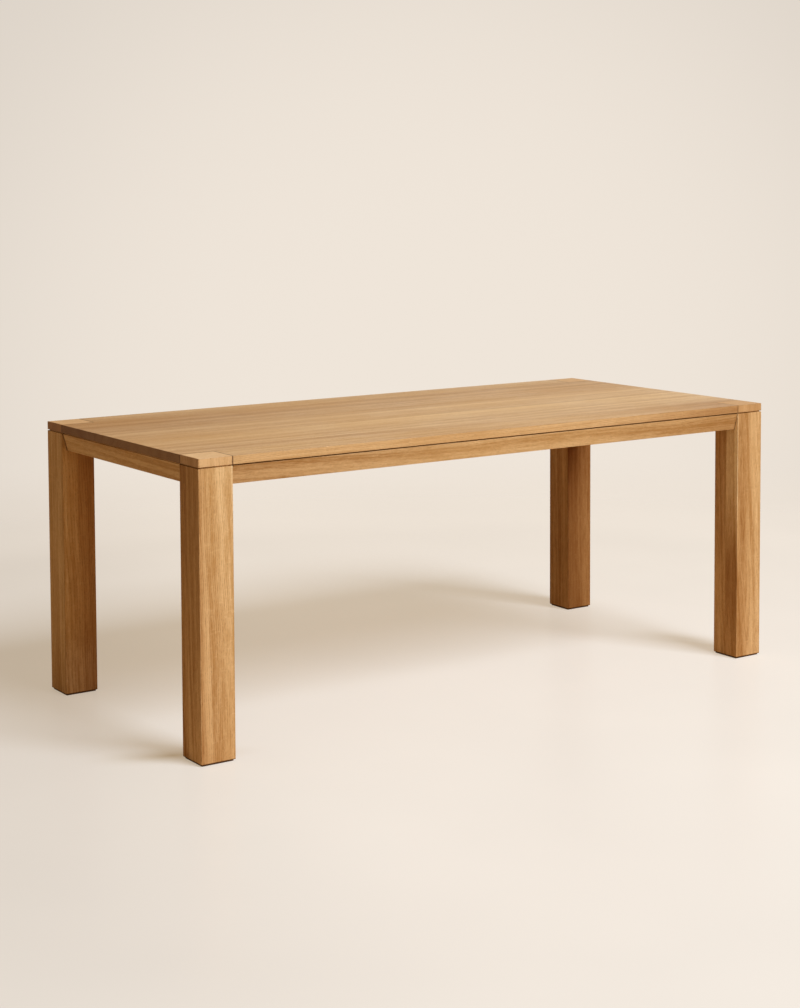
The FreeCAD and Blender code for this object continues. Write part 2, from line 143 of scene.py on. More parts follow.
def carried(
    name: str, axis: Axis, levels: list[tuple[float, Section]], rims: tuple[bool, bool]
) -> bpy.types.Object:
    """Carries sections along an axis and closes both ends.

    Between two levels the surface joins equal points of their rings.  At a rounded end
    an angle goes from 0 to 90 degrees: the ring swells as its sine, while the ring moves
    away from the end as the arris radius times one minus its cosine.

    Args:
        name: The object's name.
        axis: Direction of travel.
        levels: Places along the axis with the section at each, in order.
        rims: Whether the first and the last end are rounded.

    Returns:
        The mesh object, at the origin.
    """
    (low, first), (high, last) = levels[0], levels[-1]
    angles = np.linspace(0.0, math.pi / 2, first.steps + 1)
    low_angles = angles if rims[0] else angles[-1:]
    high_angles = angles[::-1] if rims[1] else angles[-1:]
    low_step, high_step = first.arris * rims[0], last.arris * rims[1]
    rings = [(low + low_step * (1 - math.cos(a)), first.ring(math.sin(a))) for a in low_angles]
    rings += [(place, section.ring(1.0)) for place, section in levels[1:-1]]
    rings += [(high - high_step * (1 - math.cos(a)), last.ring(math.sin(a))) for a in high_angles]
    places = np.array([place for place, _ in rings])
    across = np.stack([ring for _, ring in rings])
    rows, count = across.shape[:2]
    along = np.broadcast_to(places[:, None, None], (rows, count, 1))
    grid = np.roll(np.concatenate([across, along], axis=2), axis.value + 1, axis=2)

    index = np.arange(rows * count).reshape(rows, count)
    ahead = np.roll(index, -1, axis=1)
    quads = np.stack([index[:-1], ahead[:-1], ahead[1:], index[1:]], axis=2)
    widths = np.linalg.norm(across - np.roll(across, -1, axis=1), axis=2)[:-1]
    climbs = np.broadcast_to(np.diff(places)[:, None], widths.shape)
    smooth = (climbs > 0) & (np.minimum(widths, climbs) < first.arris)
    faces = quads.reshape(-1, 4).tolist() + [index[0, ::-1].tolist(), index[-1].tolist()]
    mesh = bpy.data.meshes.new(name)
    mesh.from_pydata(grid.reshape(-1, 3), [], faces)
    mesh.polygons.foreach_set("use_smooth", np.append(smooth.ravel(), [False, False]))
    return place_mesh(name, mesh)


def into_scene(name: str, data: bpy.types.ID) -> bpy.types.Object:
    """Makes an object of a mesh, a lamp or a camera and puts it into the scene.

    Args:
        name: The object's name.
        data: Its mesh, lamp or camera.

    Returns:
        The object.
    """
    made = bpy.data.objects.new(name, data)
    bpy.context.scene.collection.objects.link(made)
    return made


def place_mesh(name: str, mesh: bpy.types.Mesh) -> bpy.types.Object:
    """Merges a mesh's equal points and puts it into the scene.

    Args:
        name: The object's name.
        mesh: Its mesh.

    Returns:
        The object.
    """
    work = bmesh.new()
    work.from_mesh(mesh)
    bmesh.ops.remove_doubles(work, verts=work.verts, dist=SAME_POINT)
    work.to_mesh(mesh)
    work.free()
    return into_scene(name, mesh)


def sawn_block(name: str, node: str, axis: Axis, arris: float) -> bpy.types.Object:
    """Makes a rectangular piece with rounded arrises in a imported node's box.

    Args:
        name: The new piece's name.
        node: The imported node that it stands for.
        axis: Direction of its length.
        arris: Radius of all its edges.

    Returns:
        The new piece.
    """
    low, high = (np.roll(np.array(corner), -axis.value - 1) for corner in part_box(node))
    corners = ((low[0], low[1]), (high[0], low[1]), (high[0], high[1]), (low[0], high[1]))
    section = Section(corners, arris)
    return carried(name, axis, [(low[2], section), (high[2], section)], (True, True))


# ---- Shader trees --------------------------------------------------------------------------
class Tree:
    """Short calls for placing and joining the nodes of one shader tree."""

    def __init__(self, tree: bpy.types.NodeTree) -> None:
        """Takes the tree to write into, and empties it.

        Args:
            tree: The node tree of a material, world or group.
        """
        self.tree = tree
        self.tree.nodes.clear()

    def node(self, kind: str, **settings: object) -> bpy.types.Node:
        """Adds one node.

        Args:
            kind: The node's type name after "ShaderNode".
            **settings: Properties of the node, by name.

        Returns:
            The new node.
        """
        made = self.tree.nodes.new("ShaderNode" + kind)
        for name, value in settings.items():
            setattr(made, name, value)
        return made

    def feed(self, socket: Socket, value: object) -> None:
        """Links a socket to another, or sets its own value.

        Args:
            socket: The input to fill.
            value: An output socket, a number, or a tuple of numbers.
        """
        if isinstance(value, Socket):
            self.tree.links.new(value, socket)
        elif isinstance(value, tuple) and socket.type == "RGBA":
            socket.default_value = (*value[:3], 1.0)
        else:
            socket.default_value = value

    def math(self, operation: str, *values: object, clamp: bool = False) -> Socket:
        """Puts values through one Math node.

        Args:
            operation: Name of the operation, such as "MULTIPLY".
            *values: Numbers or sockets, in the node's order.
            clamp: Whether the result is held between 0 and 1.

        Returns:
            The result's socket.
        """
        made = self.node("Math", operation=operation, use_clamp=clamp)
        for socket, value in zip(made.inputs, values):
            self.feed(socket, value)
        return made.outputs[0]

    def vector(self, operation: str, *values: object, out: str = "Vector") -> Socket:
        """Puts vectors through one Vector Math node.

        Args:
            operation: Name of the operation, such as "ADD".
            *values: Triples or sockets, in the node's order.
            out: Name of the output that is wanted.

        Returns:
            That output's socket.
        """
        made = self.node("VectorMath", operation=operation)
        for socket, value in zip(made.inputs, values):
            self.feed(socket, value)
        return made.outputs[out]

    def scaled(self, value: object, factor: object) -> Socket:
        """Scales a vector or colour.

        Args:
            value: The vector's socket or a triple.
            factor: Number or socket.

        Returns:
            The result's socket.
        """
        made = self.node("VectorMath", operation="SCALE")
        self.feed(made.inputs[0], value)
        self.feed(made.inputs["Scale"], factor)
        return made.outputs["Vector"]

    def parts(self, value: Socket) -> tuple[Socket, Socket, Socket]:
        """Takes a vector apart.

        Args:
            value: The vector's socket.

        Returns:
            The sockets of its three numbers.
        """
        made = self.node("SeparateXYZ")
        self.feed(made.inputs[0], value)
        return tuple(made.outputs)

    def ease(
        self, value: object, start: float, end: float, low: float = 0.0, high: float = 1.0
    ) -> Socket:
        """Eases from low to high while a value goes from start to end.

        Args:
            value: Number or socket to read.
            start: Value at which the result is low.
            end: Value at which the result is high.
            low: Result at start.
            high: Result at end.

        Returns:
            The result's socket.
        """
        made = self.node("MapRange", interpolation_type="SMOOTHSTEP")
        names = ("Value", "From Min", "From Max", "To Min", "To Max")
        for name, given in zip(names, (value, start, end, low, high)):
            self.feed(made.inputs[name], given)
        return made.outputs["Result"]

    def noise(
        self,
        place: Socket,
        per_metre: float | Triple,
        detail: float = 2.0,
        roughness: float = 0.5,
    ) -> Socket:
        """Reads smooth noise at a place.

        Args:
            place: Socket of the place, in metres.
            per_metre: Bumps to the metre, in all directions or along each axis.
            detail: Number of finer layers.
            roughness: Strength of the finer layers.

        Returns:
            The noise as a value about 0.5.
        """
        scale = per_metre if isinstance(per_metre, tuple) else (per_metre,) * 3
        made = self.node("TexNoise", noise_dimensions="3D")
        self.feed(made.inputs["Vector"], self.vector("MULTIPLY", place, scale))
        self.feed(made.inputs["Scale"], 1.0)
        self.feed(made.inputs["Detail"], detail)
        self.feed(made.inputs["Roughness"], roughness)
        return made.outputs["Fac"]

    def wave(self, place: Socket, per_metre: Triple, detail: float = 2.0) -> Socket:
        """The same noise as a value about 0."""
        return self.math("SUBTRACT", self.noise(place, per_metre, detail), 0.5)

    def cells(self, place: Socket, per_metre: float = 1.0) -> bpy.types.Node:
        """Reads the nearest of many scattered cells.

        Args:
            place: Socket of the place.
            per_metre: Cells to the metre.

        Returns:
            The node, which puts out the cell's own colour and the distance to its middle.
        """
        made = self.node("TexVoronoi", feature="F1", voronoi_dimensions="3D")
        self.feed(made.inputs["Vector"], place)
        self.feed(made.inputs["Scale"], per_metre)
        return made

    def line_noise(self, value: Socket) -> Socket:
        """Reads smooth noise along a line.

        Args:
            value: Place on the line, in bumps.

        Returns:
            The noise as a value about 0.5.
        """
        made = self.node("TexNoise", noise_dimensions="1D")
        self.feed(made.inputs["W"], value)
        self.feed(made.inputs["Scale"], 1.0)
        self.feed(made.inputs["Detail"], 1.0)
        return made.outputs["Fac"]

    def mix(self, share: object, first: object, second: object) -> Socket:
        """Mixes two colours.

        Args:
            share: How much of the second colour is used.
            first: Colour or socket.
            second: Colour or socket.

        Returns:
            The mixed colour's socket.
        """
        return self.mixed("RGBA", "Color", (share, first, second))

    def blend(self, share: object, first: object, second: object) -> Socket:
        """Mixes two numbers.

        Args:
            share: How much of the second number is used.
            first: Number or socket.
            second: Number or socket.

        Returns:
            The result's socket.
        """
        return self.mixed("FLOAT", "Float", (share, first, second))

    def mixed(self, data_type: str, ending: str, values: tuple[object, ...]) -> Socket:
        """Mixes two values of one kind.

        Args:
            data_type: The kind, as the Mix node calls it.
            ending: The ending of that kind's sockets.
            values: The share of the second value, the first value and the second.

        Returns:
            The result's socket.
        """
        made = self.node("Mix", data_type=data_type, clamp_factor=True)
        sockets = {socket.identifier: socket for socket in (*made.inputs, *made.outputs)}
        for name, value in zip(("Factor_Float", f"A_{ending}", f"B_{ending}"), values):
            self.feed(sockets[name], value)
        return sockets[f"Result_{ending}"]

    def total(self, *weighted: tuple[object, float]) -> Socket:
        """Adds up values, each times its weight.

        Args:
            *weighted: Pairs of a value and its weight.

        Returns:
            The sum's socket.
        """
        running: object = 0.0
        for value, weight in weighted:
            running = self.math("MULTIPLY_ADD", value, weight, running)
        return running

    def ramp(self, value: Socket, tones: tuple[float, ...]) -> Socket:
        """Reads a smooth run of tones, none above the tone limit, at a share from 0 to 1.

        Args:
            value: The share's socket.
            tones: Tones at evenly spaced places.

        Returns:
            The tone's socket.
        """
        node = self.node("ValToRGB")
        node.color_ramp.interpolation = "B_SPLINE"
        elements = node.color_ramp.elements
        while len(elements) < len(tones):
            elements.new(0.5)
        for step, (element, tone) in enumerate(zip(elements, tones)):
            held = tone / TONE_LIMIT
            element.position = step / (len(tones) - 1)
            element.color = (held, held, held, 1.0)
        self.feed(node.inputs["Fac"], value)
        return self.math("MULTIPLY", node.outputs["Color"], TONE_LIMIT)

    def group(self, group: bpy.types.NodeTree, **inputs: object) -> bpy.types.Node:
        """Places a node group with its own input values.

        Args:
            group: The group's tree.
            **inputs: Values or sockets, by the input's name with _ for a space.

        Returns:
            The group node.
        """
        made = self.node("Group", node_tree=group)
        for name, value in inputs.items():
            self.feed(made.inputs[name.replace("_", " ")], value)
        return made

    def shader(self, kind: str, **inputs: object) -> Socket:
        """Adds a shader.

        Args:
            kind: The node's type name after "ShaderNode".
            **inputs: Values or sockets, by the input's name.

        Returns:
            The shader's socket.
        """
        made = self.node(kind)
        for name, value in inputs.items():
            self.feed(made.inputs[name], value)
        return made.outputs[0]

    def choose(self, share: object, first: Socket, second: Socket) -> Socket:
        """Mixes two shaders.

        Args:
            share: How much of the second one is used.
            first: The first shader.
            second: The second shader.

        Returns:
            The mixed shader's socket.
        """
        made = self.node("MixShader")
        for socket, value in zip(made.inputs, (share, first, second)):
            self.feed(socket, value)
        return made.outputs[0]

    def end(self, shader: Socket, kind: str = "OutputMaterial") -> None:
        """Links a shader to a new output node of the kind given."""
        self.feed(self.node(kind).inputs["Surface"], shader)


class GroupTree(Tree):
    """A shader group's tree, with its own inputs and outputs."""

    def __init__(
        self, name: str, inputs: dict[str, tuple[str, object]], outputs: tuple[str, ...]
    ) -> None:
        """Makes an empty group with named sockets.

        Args:
            name: The group's name.
            inputs: Each input's kind, such as "Float", and its first value, by name.
            outputs: Names of the outputs, which are all numbers.
        """
        super().__init__(bpy.data.node_groups.new(name, "ShaderNodeTree"))
        for label, (kind, value) in inputs.items():
            made = self.tree.interface.new_socket(
                label, in_out="INPUT", socket_type="NodeSocket" + kind
            )
            made.default_value = value
        for label in outputs:
            self.tree.interface.new_socket(
                label, in_out="OUTPUT", socket_type="NodeSocketFloat"
            )
        self.given = self.tree.nodes.new("NodeGroupInput").outputs
        self.result = self.tree.nodes.new("NodeGroupOutput").inputs

    def put_out(self, **values: Socket) -> None:
        """Links each named output."""
        for name, value in values.items():
            self.feed(self.result[name], value)


# ---- Effects that several finishes share ---------------------------------------------------
@dataclass(frozen=True)
class OakFigure:
    """Growth rings, streaks, dashes, pores and rays of oak.

    Scales of waves, streaks and the like are bumps to the metre along the grain and in
    the two directions across it.

    Attributes:
        slow_waves: Scale of the waves that push the rings aside.
        quick_waves: Scale of the small waves that roughen them.
        quick_bend: How far the small waves push.
        wide_bands: Broad bands to the metre of radius.
        thin_bands: Thin bands to the metre of radius.
        wide_share: Share of the broad bands in all bands.
        early_onset: Shares of a year between which early wood sets in.
        early_fade: Shares of a year between which late wood takes its place.
        broad_streaks: Scale of the broad streaks.
        narrow_streaks: Scale of the narrow streaks.
        broad_share: Share of the broad streaks in all streaks.
        short_dashes: Scale of the short dashes.
        stray_dashes: Scale of the longer, stray ones.
        short_share: Share of the short dashes in all dashes.
        dash_spread: Values of the dashes' noise that are stretched to 0 and 1.
        fibres: Scale of the fibres.
        drift: Scale of the broad areas that drift to another colour.
        drift_spread: Values of their noise that are stretched to 0 and 1.
        pores: Scale of the cells that hold the pores.
        pit: Distances from a cell's middle between which a pore deepens.
        crowding: Amounts of early wood between which the pores deepen, and both depths.
        rays: Scale of the rays.
        ray_spread: Values of their noise between which a ray shows.
        heights: How high pores, early wood, fibres and rays stand.
    """

    slow_waves: Triple = (1.3, 7.0, 7.0)
    quick_waves: Triple = (9.0, 70.0, 70.0)
    quick_bend: float = 0.003
    wide_bands: float = 38.0
    thin_bands: float = 150.0
    wide_share: float = 0.62
    early_onset: Pair = (0.0, 0.1)
    early_fade: Pair = (0.6, 0.05)
    broad_streaks: Triple = (1.3, 32.0, 32.0)
    narrow_streaks: Triple = (4.0, 140.0, 140.0)
    broad_share: float = 0.68
    short_dashes: Triple = (48.0, 300.0, 300.0)
    stray_dashes: Triple = (11.0, 110.0, 110.0)
    short_share: float = 0.5
    dash_spread: Pair = (0.34, 0.66)
    fibres: Triple = (16.0, 1100.0, 1100.0)
    drift: Triple = (0.7, 4.0, 4.0)
    drift_spread: Pair = (0.33, 0.68)
    pores: Triple = (110.0, 1300.0, 1300.0)
    pit: Pair = (0.46, 0.20)
    crowding: tuple[float, float, float, float] = (0.1, 0.8, 0.2, 1.0)
    rays: Triple = (170.0, 300.0, 60.0)
    ray_spread: Pair = (0.60, 0.72)
    heights: tuple[float, float, float, float] = (-0.8, -0.25, 0.3, 0.1)

    def group(self) -> bpy.types.NodeTree:
        """Builds the figure as one group.

        The place comes in with the grain along X and the piece's middle at the origin.
        Bands and rings are noise and saw teeth of the radius, streaks and dashes are noise
        stretched along X, and pores are cells stretched along X that crowd in early wood.

        Returns:
            The group, which puts out masks and a height.
        """
        inputs = {
            "Place": ("Vector", (0.0, 0.0, 0.0)),
            "Seed": ("Vector", (0.0, 0.0, 0.0)),
            "Pith": ("Vector", (0.0, 0.0, -0.1)),
            "Lean": ("Vector", (0.0, 0.01, 0.02)),
            "Bend": ("Float", 0.03),
            "Ring Width": ("Float", 0.004),
        }
        outputs = (
            "Bands", "Rings", "Streaks", "Dashes", "Fibre", "Drift", "Pores", "Rays", "Height"
        )
        tree = GroupTree("oak_figure", inputs, outputs)
        own = tree.vector("ADD", tree.given["Place"], tree.given["Seed"])
        radius = self.radius(tree, own)
        seed = tree.parts(tree.given["Seed"])[0]
        wide, thin = (
            tree.line_noise(tree.math("MULTIPLY_ADD", radius, bands, seed))
            for bands in (self.wide_bands, self.thin_bands)
        )
        broad = tree.noise(own, self.broad_streaks)
        narrow = tree.noise(own, self.narrow_streaks, roughness=0.6)
        short = tree.noise(own, self.short_dashes, detail=1.0)
        stray = tree.noise(own, self.stray_dashes)
        fibre = tree.noise(own, self.fibres, detail=1.0)
        drift = tree.noise(own, self.drift, detail=1.0)
        rays = tree.ease(tree.noise(own, self.rays, detail=1.0), *self.ray_spread)

        year = tree.math("FRACT", tree.math("DIVIDE", radius, tree.given["Ring Width"]))
        early = tree.math(
            "MULTIPLY", tree.ease(year, *self.early_fade), tree.ease(year, *self.early_onset)
        )
        cells = tree.cells(tree.vector("MULTIPLY", own, self.pores))
        pits = tree.ease(cells.outputs["Distance"], *self.pit)
        pores = tree.math("MULTIPLY", pits, tree.ease(early, *self.crowding))
        tree.put_out(
            Bands=self.mingled(tree, wide, thin, self.wide_share, NOISE_SPREAD),
            Rings=early,
            Streaks=self.mingled(tree, broad, narrow, self.broad_share, NOISE_SPREAD),
            Dashes=self.mingled(tree, short, stray, self.short_share, self.dash_spread),
            Fibre=fibre,
            Drift=tree.ease(drift, *self.drift_spread),
            Pores=pores,
            Rays=rays,
            Height=tree.total(*zip((pores, early, fibre, rays), self.heights)),
        )
        return tree.tree

    def radius(self, tree: GroupTree, own: Socket) -> Socket:
        """Distance from the log's middle, across the grain, bent by two kinds of waves.

        The log's middle leans, so it moves across the grain in proportion to the place
        along it.

        Args:
            tree: The group's tree.
            own: Socket of the place, shifted by the seed.

        Returns:
            The radius's socket.
        """
        given = tree.given
        along = tree.parts(given["Place"])[0]
        leaning = tree.vector("ADD", given["Pith"], tree.scaled(given["Lean"], along))
        from_pith = tree.vector("SUBTRACT", given["Place"], leaning)
        across = tree.vector("MULTIPLY", from_pith, (0.0, 1.0, 1.0))
        radius = tree.vector("LENGTH", across, out="Value")
        for waves, bend in ((self.slow_waves, given["Bend"]), (self.quick_waves, self.quick_bend)):
            radius = tree.math("MULTIPLY_ADD", tree.wave(own, waves), bend, radius)
        return radius

    @staticmethod
    def mingled(tree: Tree, first: Socket, second: Socket, share: float, spread: Pair) -> Socket:
        """Stretches two noises and adds them up by their shares.

        Args:
            tree: The group's tree.
            first: The first noise.
            second: The second noise.
            share: Share of the first one.
            spread: Values of the noise that are stretched to 0 and 1.

        Returns:
            The sum's socket, from 0 to 1.
        """
        return tree.total(
            (tree.ease(first, *spread), share), (tree.ease(second, *spread), 1.0 - share)
        )


@dataclass(frozen=True)
class WornEdge:
    """Ragged mask along the edges of a box-shaped piece.

    Attributes:
        bumps: Bumps to the metre of the mask's ragged border.
        reaches: Shares of the reach between which the border wanders.
    """

    bumps: float = 45.0
    reaches: Pair = (0.5, 1.5)

    def group(self) -> bpy.types.NodeTree:
        """Builds the mask as one group.

        Of the distances to the box's three pairs of faces, the second smallest is the
        distance to the nearest edge.  Noise varies how far from the edge the mask reaches.

        Returns:
            The group, which puts out the mask.
        """
        inputs = {
            "Place": ("Vector", (0.0, 0.0, 0.0)),
            "Half Size": ("Vector", (1.0, 1.0, 1.0)),
            "Reach": ("Float", 0.003),
        }
        tree = GroupTree("worn_edge", inputs, ("Wear",))
        outwards = tree.vector("ABSOLUTE", tree.given["Place"])
        x, y, z = tree.parts(tree.vector("SUBTRACT", tree.given["Half Size"], outwards))
        nearer = tree.math("MINIMUM", x, y)
        farther = tree.math("MAXIMUM", x, y)
        edge = tree.math("MINIMUM", farther, tree.math("MAXIMUM", nearer, z))
        uneven = tree.noise(tree.given["Place"], self.bumps, detail=3.0, roughness=0.7)
        share = tree.ease(uneven, *NOISE_SPREAD, *self.reaches)
        reach = tree.math("MULTIPLY", tree.given["Reach"], share)
        tree.put_out(Wear=tree.ease(tree.math("DIVIDE", edge, reach), 1.0, 0.0))
        return tree.tree


@dataclass(frozen=True)
class Handling:
    """Soft patches and smears where hands and cloths have changed a surface's sheen.

    Attributes:
        patches: Patches to the metre.
        smears: Smears to the metre along each axis.
        spread: Values of their noise that are stretched to 0 and 1.
    """

    patches: float = 2.7
    smears: Triple = (17.0, 31.0, 23.0)
    spread: Pair = (0.35, 0.65)

    def group(self) -> bpy.types.NodeTree:
        """Builds the marks as one group.

        Returns:
            The group, which puts out patches and finer smears, each from 0 to 1.
        """
        inputs = {"Place": ("Vector", (0.0, 0.0, 0.0))}
        tree = GroupTree("handling", inputs, ("Patches", "Smears"))
        patches = tree.noise(tree.given["Place"], self.patches, detail=3.0, roughness=0.55)
        smears = tree.noise(tree.given["Place"], self.smears, detail=3.0, roughness=0.6)
        tree.put_out(
            Patches=tree.ease(patches, *self.spread), Smears=tree.ease(smears, *self.spread)
        )
        return tree.tree


@dataclass(frozen=True)
class Effects:
    """The groups that the finishes share, each built once.

    Attributes:
        figure: Figure of oak.
        edge: Mask of worn edges.
        handling: Marks of handling.
    """

    figure: bpy.types.NodeTree = field(default_factory=lambda: OakFigure().group())
    edge: bpy.types.NodeTree = field(default_factory=lambda: WornEdge().group())
    handling: bpy.types.NodeTree = field(default_factory=lambda: Handling().group())


# ---- Finishes ------------------------------------------------------------------------------
class PieceTree(Tree):
    """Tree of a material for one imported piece, which ends in a Principled BSDF.

    Attributes:
        material: The material.
        effects: The shared groups.
        surface: Its Principled BSDF.
        where: Socket of the place.
        normal: Socket of the direction that the surface faces.
        centred: Socket of the place from the piece's middle.
        half: Half size of the piece.
    """

    def __init__(self, name: str, node: str, effects: Effects) -> None:
        """Makes the material.

        Args:
            name: The material's name.
            node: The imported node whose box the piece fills.
            effects: The shared groups.
        """
        self.material = bpy.data.materials.new(name)
        self.material.use_nodes = True
        super().__init__(self.material.node_tree)
        self.effects = effects
        self.surface = self.node("BsdfPrincipled")
        self.end(self.surface.outputs[0])
        coordinates = self.node("TexCoord").outputs
        self.where = coordinates["Object"]
        self.normal = coordinates["Normal"]
        low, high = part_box(node)
        self.centred = self.vector("SUBTRACT", self.where, tuple((low + high) / 2))
        self.half = (high - low) / 2

    def wear(self, reach: float) -> Socket:
        """Places the mask of worn edges.

        Args:
            reach: How far it reaches from the piece's edges.

        Returns:
            The mask's socket.
        """
        worn = self.group(
            self.effects.edge, Place=self.centred, Half_Size=tuple(self.half), Reach=reach
        )
        return worn.outputs["Wear"]

    def finish(
        self, colour: Socket, rough: Socket, height: Socket, relief: float
    ) -> bpy.types.Material:
        """Feeds the surface.

        Args:
            colour: Socket of its colour.
            rough: Socket of its roughness.
            height: Socket of the height in its fine relief.
            relief: How high 1 stands there.

        Returns:
            The material.
        """
        bump = self.node("Bump")
        self.feed(bump.inputs["Height"], height)
        self.feed(bump.inputs["Distance"], relief)
        self.feed(self.surface.inputs["Base Color"], colour)
        self.feed(self.surface.inputs["Roughness"], rough)
        self.feed(self.surface.inputs["Normal"], bump.outputs["Normal"])
        return self.material


@dataclass(frozen=True)
class DarkLine:
    """Dark line along one face of a piece, at a joint, a foot or a head; some are painted shade.

    Attributes:
        axis: Axis that the face lies across.
        side: 1 for the face on the axis's high side, and -1 for the one on its low side.
        width: Width of the line.
        core: Share of that width over which it is darkest.
    """

    axis: Axis
    side: int
    width: float
    core: float = 0.3


def end_lines(axis: Axis, low: float, high: float) -> tuple[DarkLine, DarkLine]:
    """Dark lines at both ends of a piece, with their widths at the low and the high end."""
    return DarkLine(axis, -1, low), DarkLine(axis, 1, high)


# How far a seed of 1 shifts the figure along each axis.
SEED_STEPS = (3.7, 1.9, 2.3)
# Bumps to the metre in the sway of the staves' joints.
SWAY_WAVES = (3.0, 1.0, 1.0)
# Half the width over which one stave gives way to the next.
JOINT_BLUR = 0.0006
# Cosines, against the grain's direction, between which a face turns to end grain.
END_FACING = (0.6, 0.9)


@dataclass(frozen=True)
class Cut:
    """How one piece was cut from its log, and what is glued up in it.

    Attributes:
        grain: Direction of the grain.
        pith: Place of the log's middle across the grain, from the piece's middle.
        lean: How far the log's middle moves across the grain in each metre of length.
        bend: How far slow waves push the rings aside.
        seed: Shift that gives the piece its own streaks.
        tone: Brightness beside the other pieces.
        profile: Tones across the piece at evenly spaced places from its low side.
        staves: Tones at evenly spaced places from the low to the high end, once for the
        whole piece or for each of four staves by quadrant of the turned section; on the
        top boards and the legs they also hold painted light and shade.
        joints: Where the staves' joints lie, as shares of the half size.
        sway: How far the staves' joints wander sideways.
        dark_lines: Lines along its joints, its foot or its head, some of them painted shade.
    """

    grain: Axis
    pith: Pair = (0.10, -0.12)
    lean: Pair = (0.01, 0.02)
    bend: float = 0.03
    seed: float = 0.0
    tone: float = 1.0
    profile: tuple[float, ...] = (1.0, 1.0)
    staves: tuple[tuple[float, ...], ...] = ((1.0, 1.0),)
    joints: Pair = (0.0, 0.0)
    sway: float = 0.002
    dark_lines: tuple[DarkLine, ...] = ()

    def turned_half(self, half: Vector) -> Triple:
        """Half size along the grain and along the turned Y and Z axes.

        Args:
            half: Half size of the piece.

        Returns:
            The same three numbers in the turned order.
        """
        orders = {Axis.X: (0, 1, 2), Axis.Y: (1, 0, 2), Axis.Z: (2, 1, 0)}
        return tuple(half[axis] for axis in orders[self.grain])

    def level(self, tree: Tree, turned: Socket, half: Vector) -> Socket:
        """Works out the brightness that varies across the piece.

        A profile is read along X in an upright piece, and along the turned Y axis in the
        others.  Staves are told apart by the signs of the two axes across the grain, less
        the joints' places and a slow sway.

        Args:
            tree: The material's tree.
            turned: Socket of the place with the grain along X.
            half: Half size of the piece.

        Returns:
            The brightness's socket.
        """
        half_along, half_y, half_z = self.turned_half(half)
        along, y, z = tree.parts(turned)
        line = tree.node("CombineXYZ")
        tree.feed(line.inputs["X"], along)
        tree.feed(line.inputs["Y"], self.seed)
        sway = tree.wave(line.outputs[0], SWAY_WAVES, detail=3.0)

        if self.grain is Axis.Z:
            across = tree.math("MULTIPLY", z, -0.5 / half_z)
            swing = 2 * self.sway / half_z
        else:
            across = tree.math("MULTIPLY", y, 0.5 / half_y)
            swing = 2 * self.sway / half_y
        swayed = tree.total((sway, swing), (across, 1.0), (0.5, 1.0))
        level = tree.math("MULTIPLY", tree.ramp(swayed, self.profile), self.tone)
        reached = tree.math("MULTIPLY_ADD", along, 0.5 / half_along, 0.5)
        tones = [tree.ramp(reached, stave) for stave in self.staves]
        if len(tones) == 1:
            return tree.math("MULTIPLY", tones[0], level)

        sides = []
        for value, size, joint in ((y, half_y, self.joints[0]), (z, half_z, self.joints[1])):
            moved = tree.math("MULTIPLY_ADD", sway, self.sway, value)
            apart = tree.math("SUBTRACT", moved, joint * size)
            sides.append(tree.ease(apart, -JOINT_BLUR, JOINT_BLUR))
        low_z = tree.blend(sides[0], tones[0], tones[1])
        high_z = tree.blend(sides[0], tones[2], tones[3])
        return tree.math("MULTIPLY", tree.blend(sides[1], low_z, high_z), level)


class OakTree(PieceTree):
    """Tree of a material for one piece of oak.

    Attributes:
        turned: Socket of the centred place, turned so that the grain runs along X.
        figure: Outputs of the oak's figure.
        handling: Outputs of the marks of handling.
        end_grain: Socket of the mask of end grain.
    """

    def __init__(
        self, name: str, node: str, effects: Effects, cut: Cut, ring_width: float
    ) -> None:
        """Makes the material and reads the shared groups.

        Args:
            name: The material's name.
            node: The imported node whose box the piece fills.
            effects: The shared groups.
            cut: How the piece was cut.
            ring_width: Width of one year's growth.
        """
        super().__init__(name, node, effects)
        turn = self.node("Mapping", vector_type="POINT")
        self.feed(turn.inputs["Vector"], self.centred)
        self.feed(turn.inputs["Rotation"], cut.grain.turn_to_x)
        self.turned = turn.outputs["Vector"]
        self.figure = self.group(
            effects.figure,
            Place=self.turned,
            Seed=tuple(cut.seed * step for step in SEED_STEPS),
            Pith=(0.0, *cut.pith),
            Lean=(0.0, *cut.lean),
            Bend=cut.bend,
            Ring_Width=ring_width,
        ).outputs
        self.handling = self.group(effects.handling, Place=self.where).outputs
        facing = self.vector("DOT_PRODUCT", self.normal, cut.grain.unit, out="Value")
        self.end_grain = self.ease(self.math("ABSOLUTE", facing), *END_FACING)


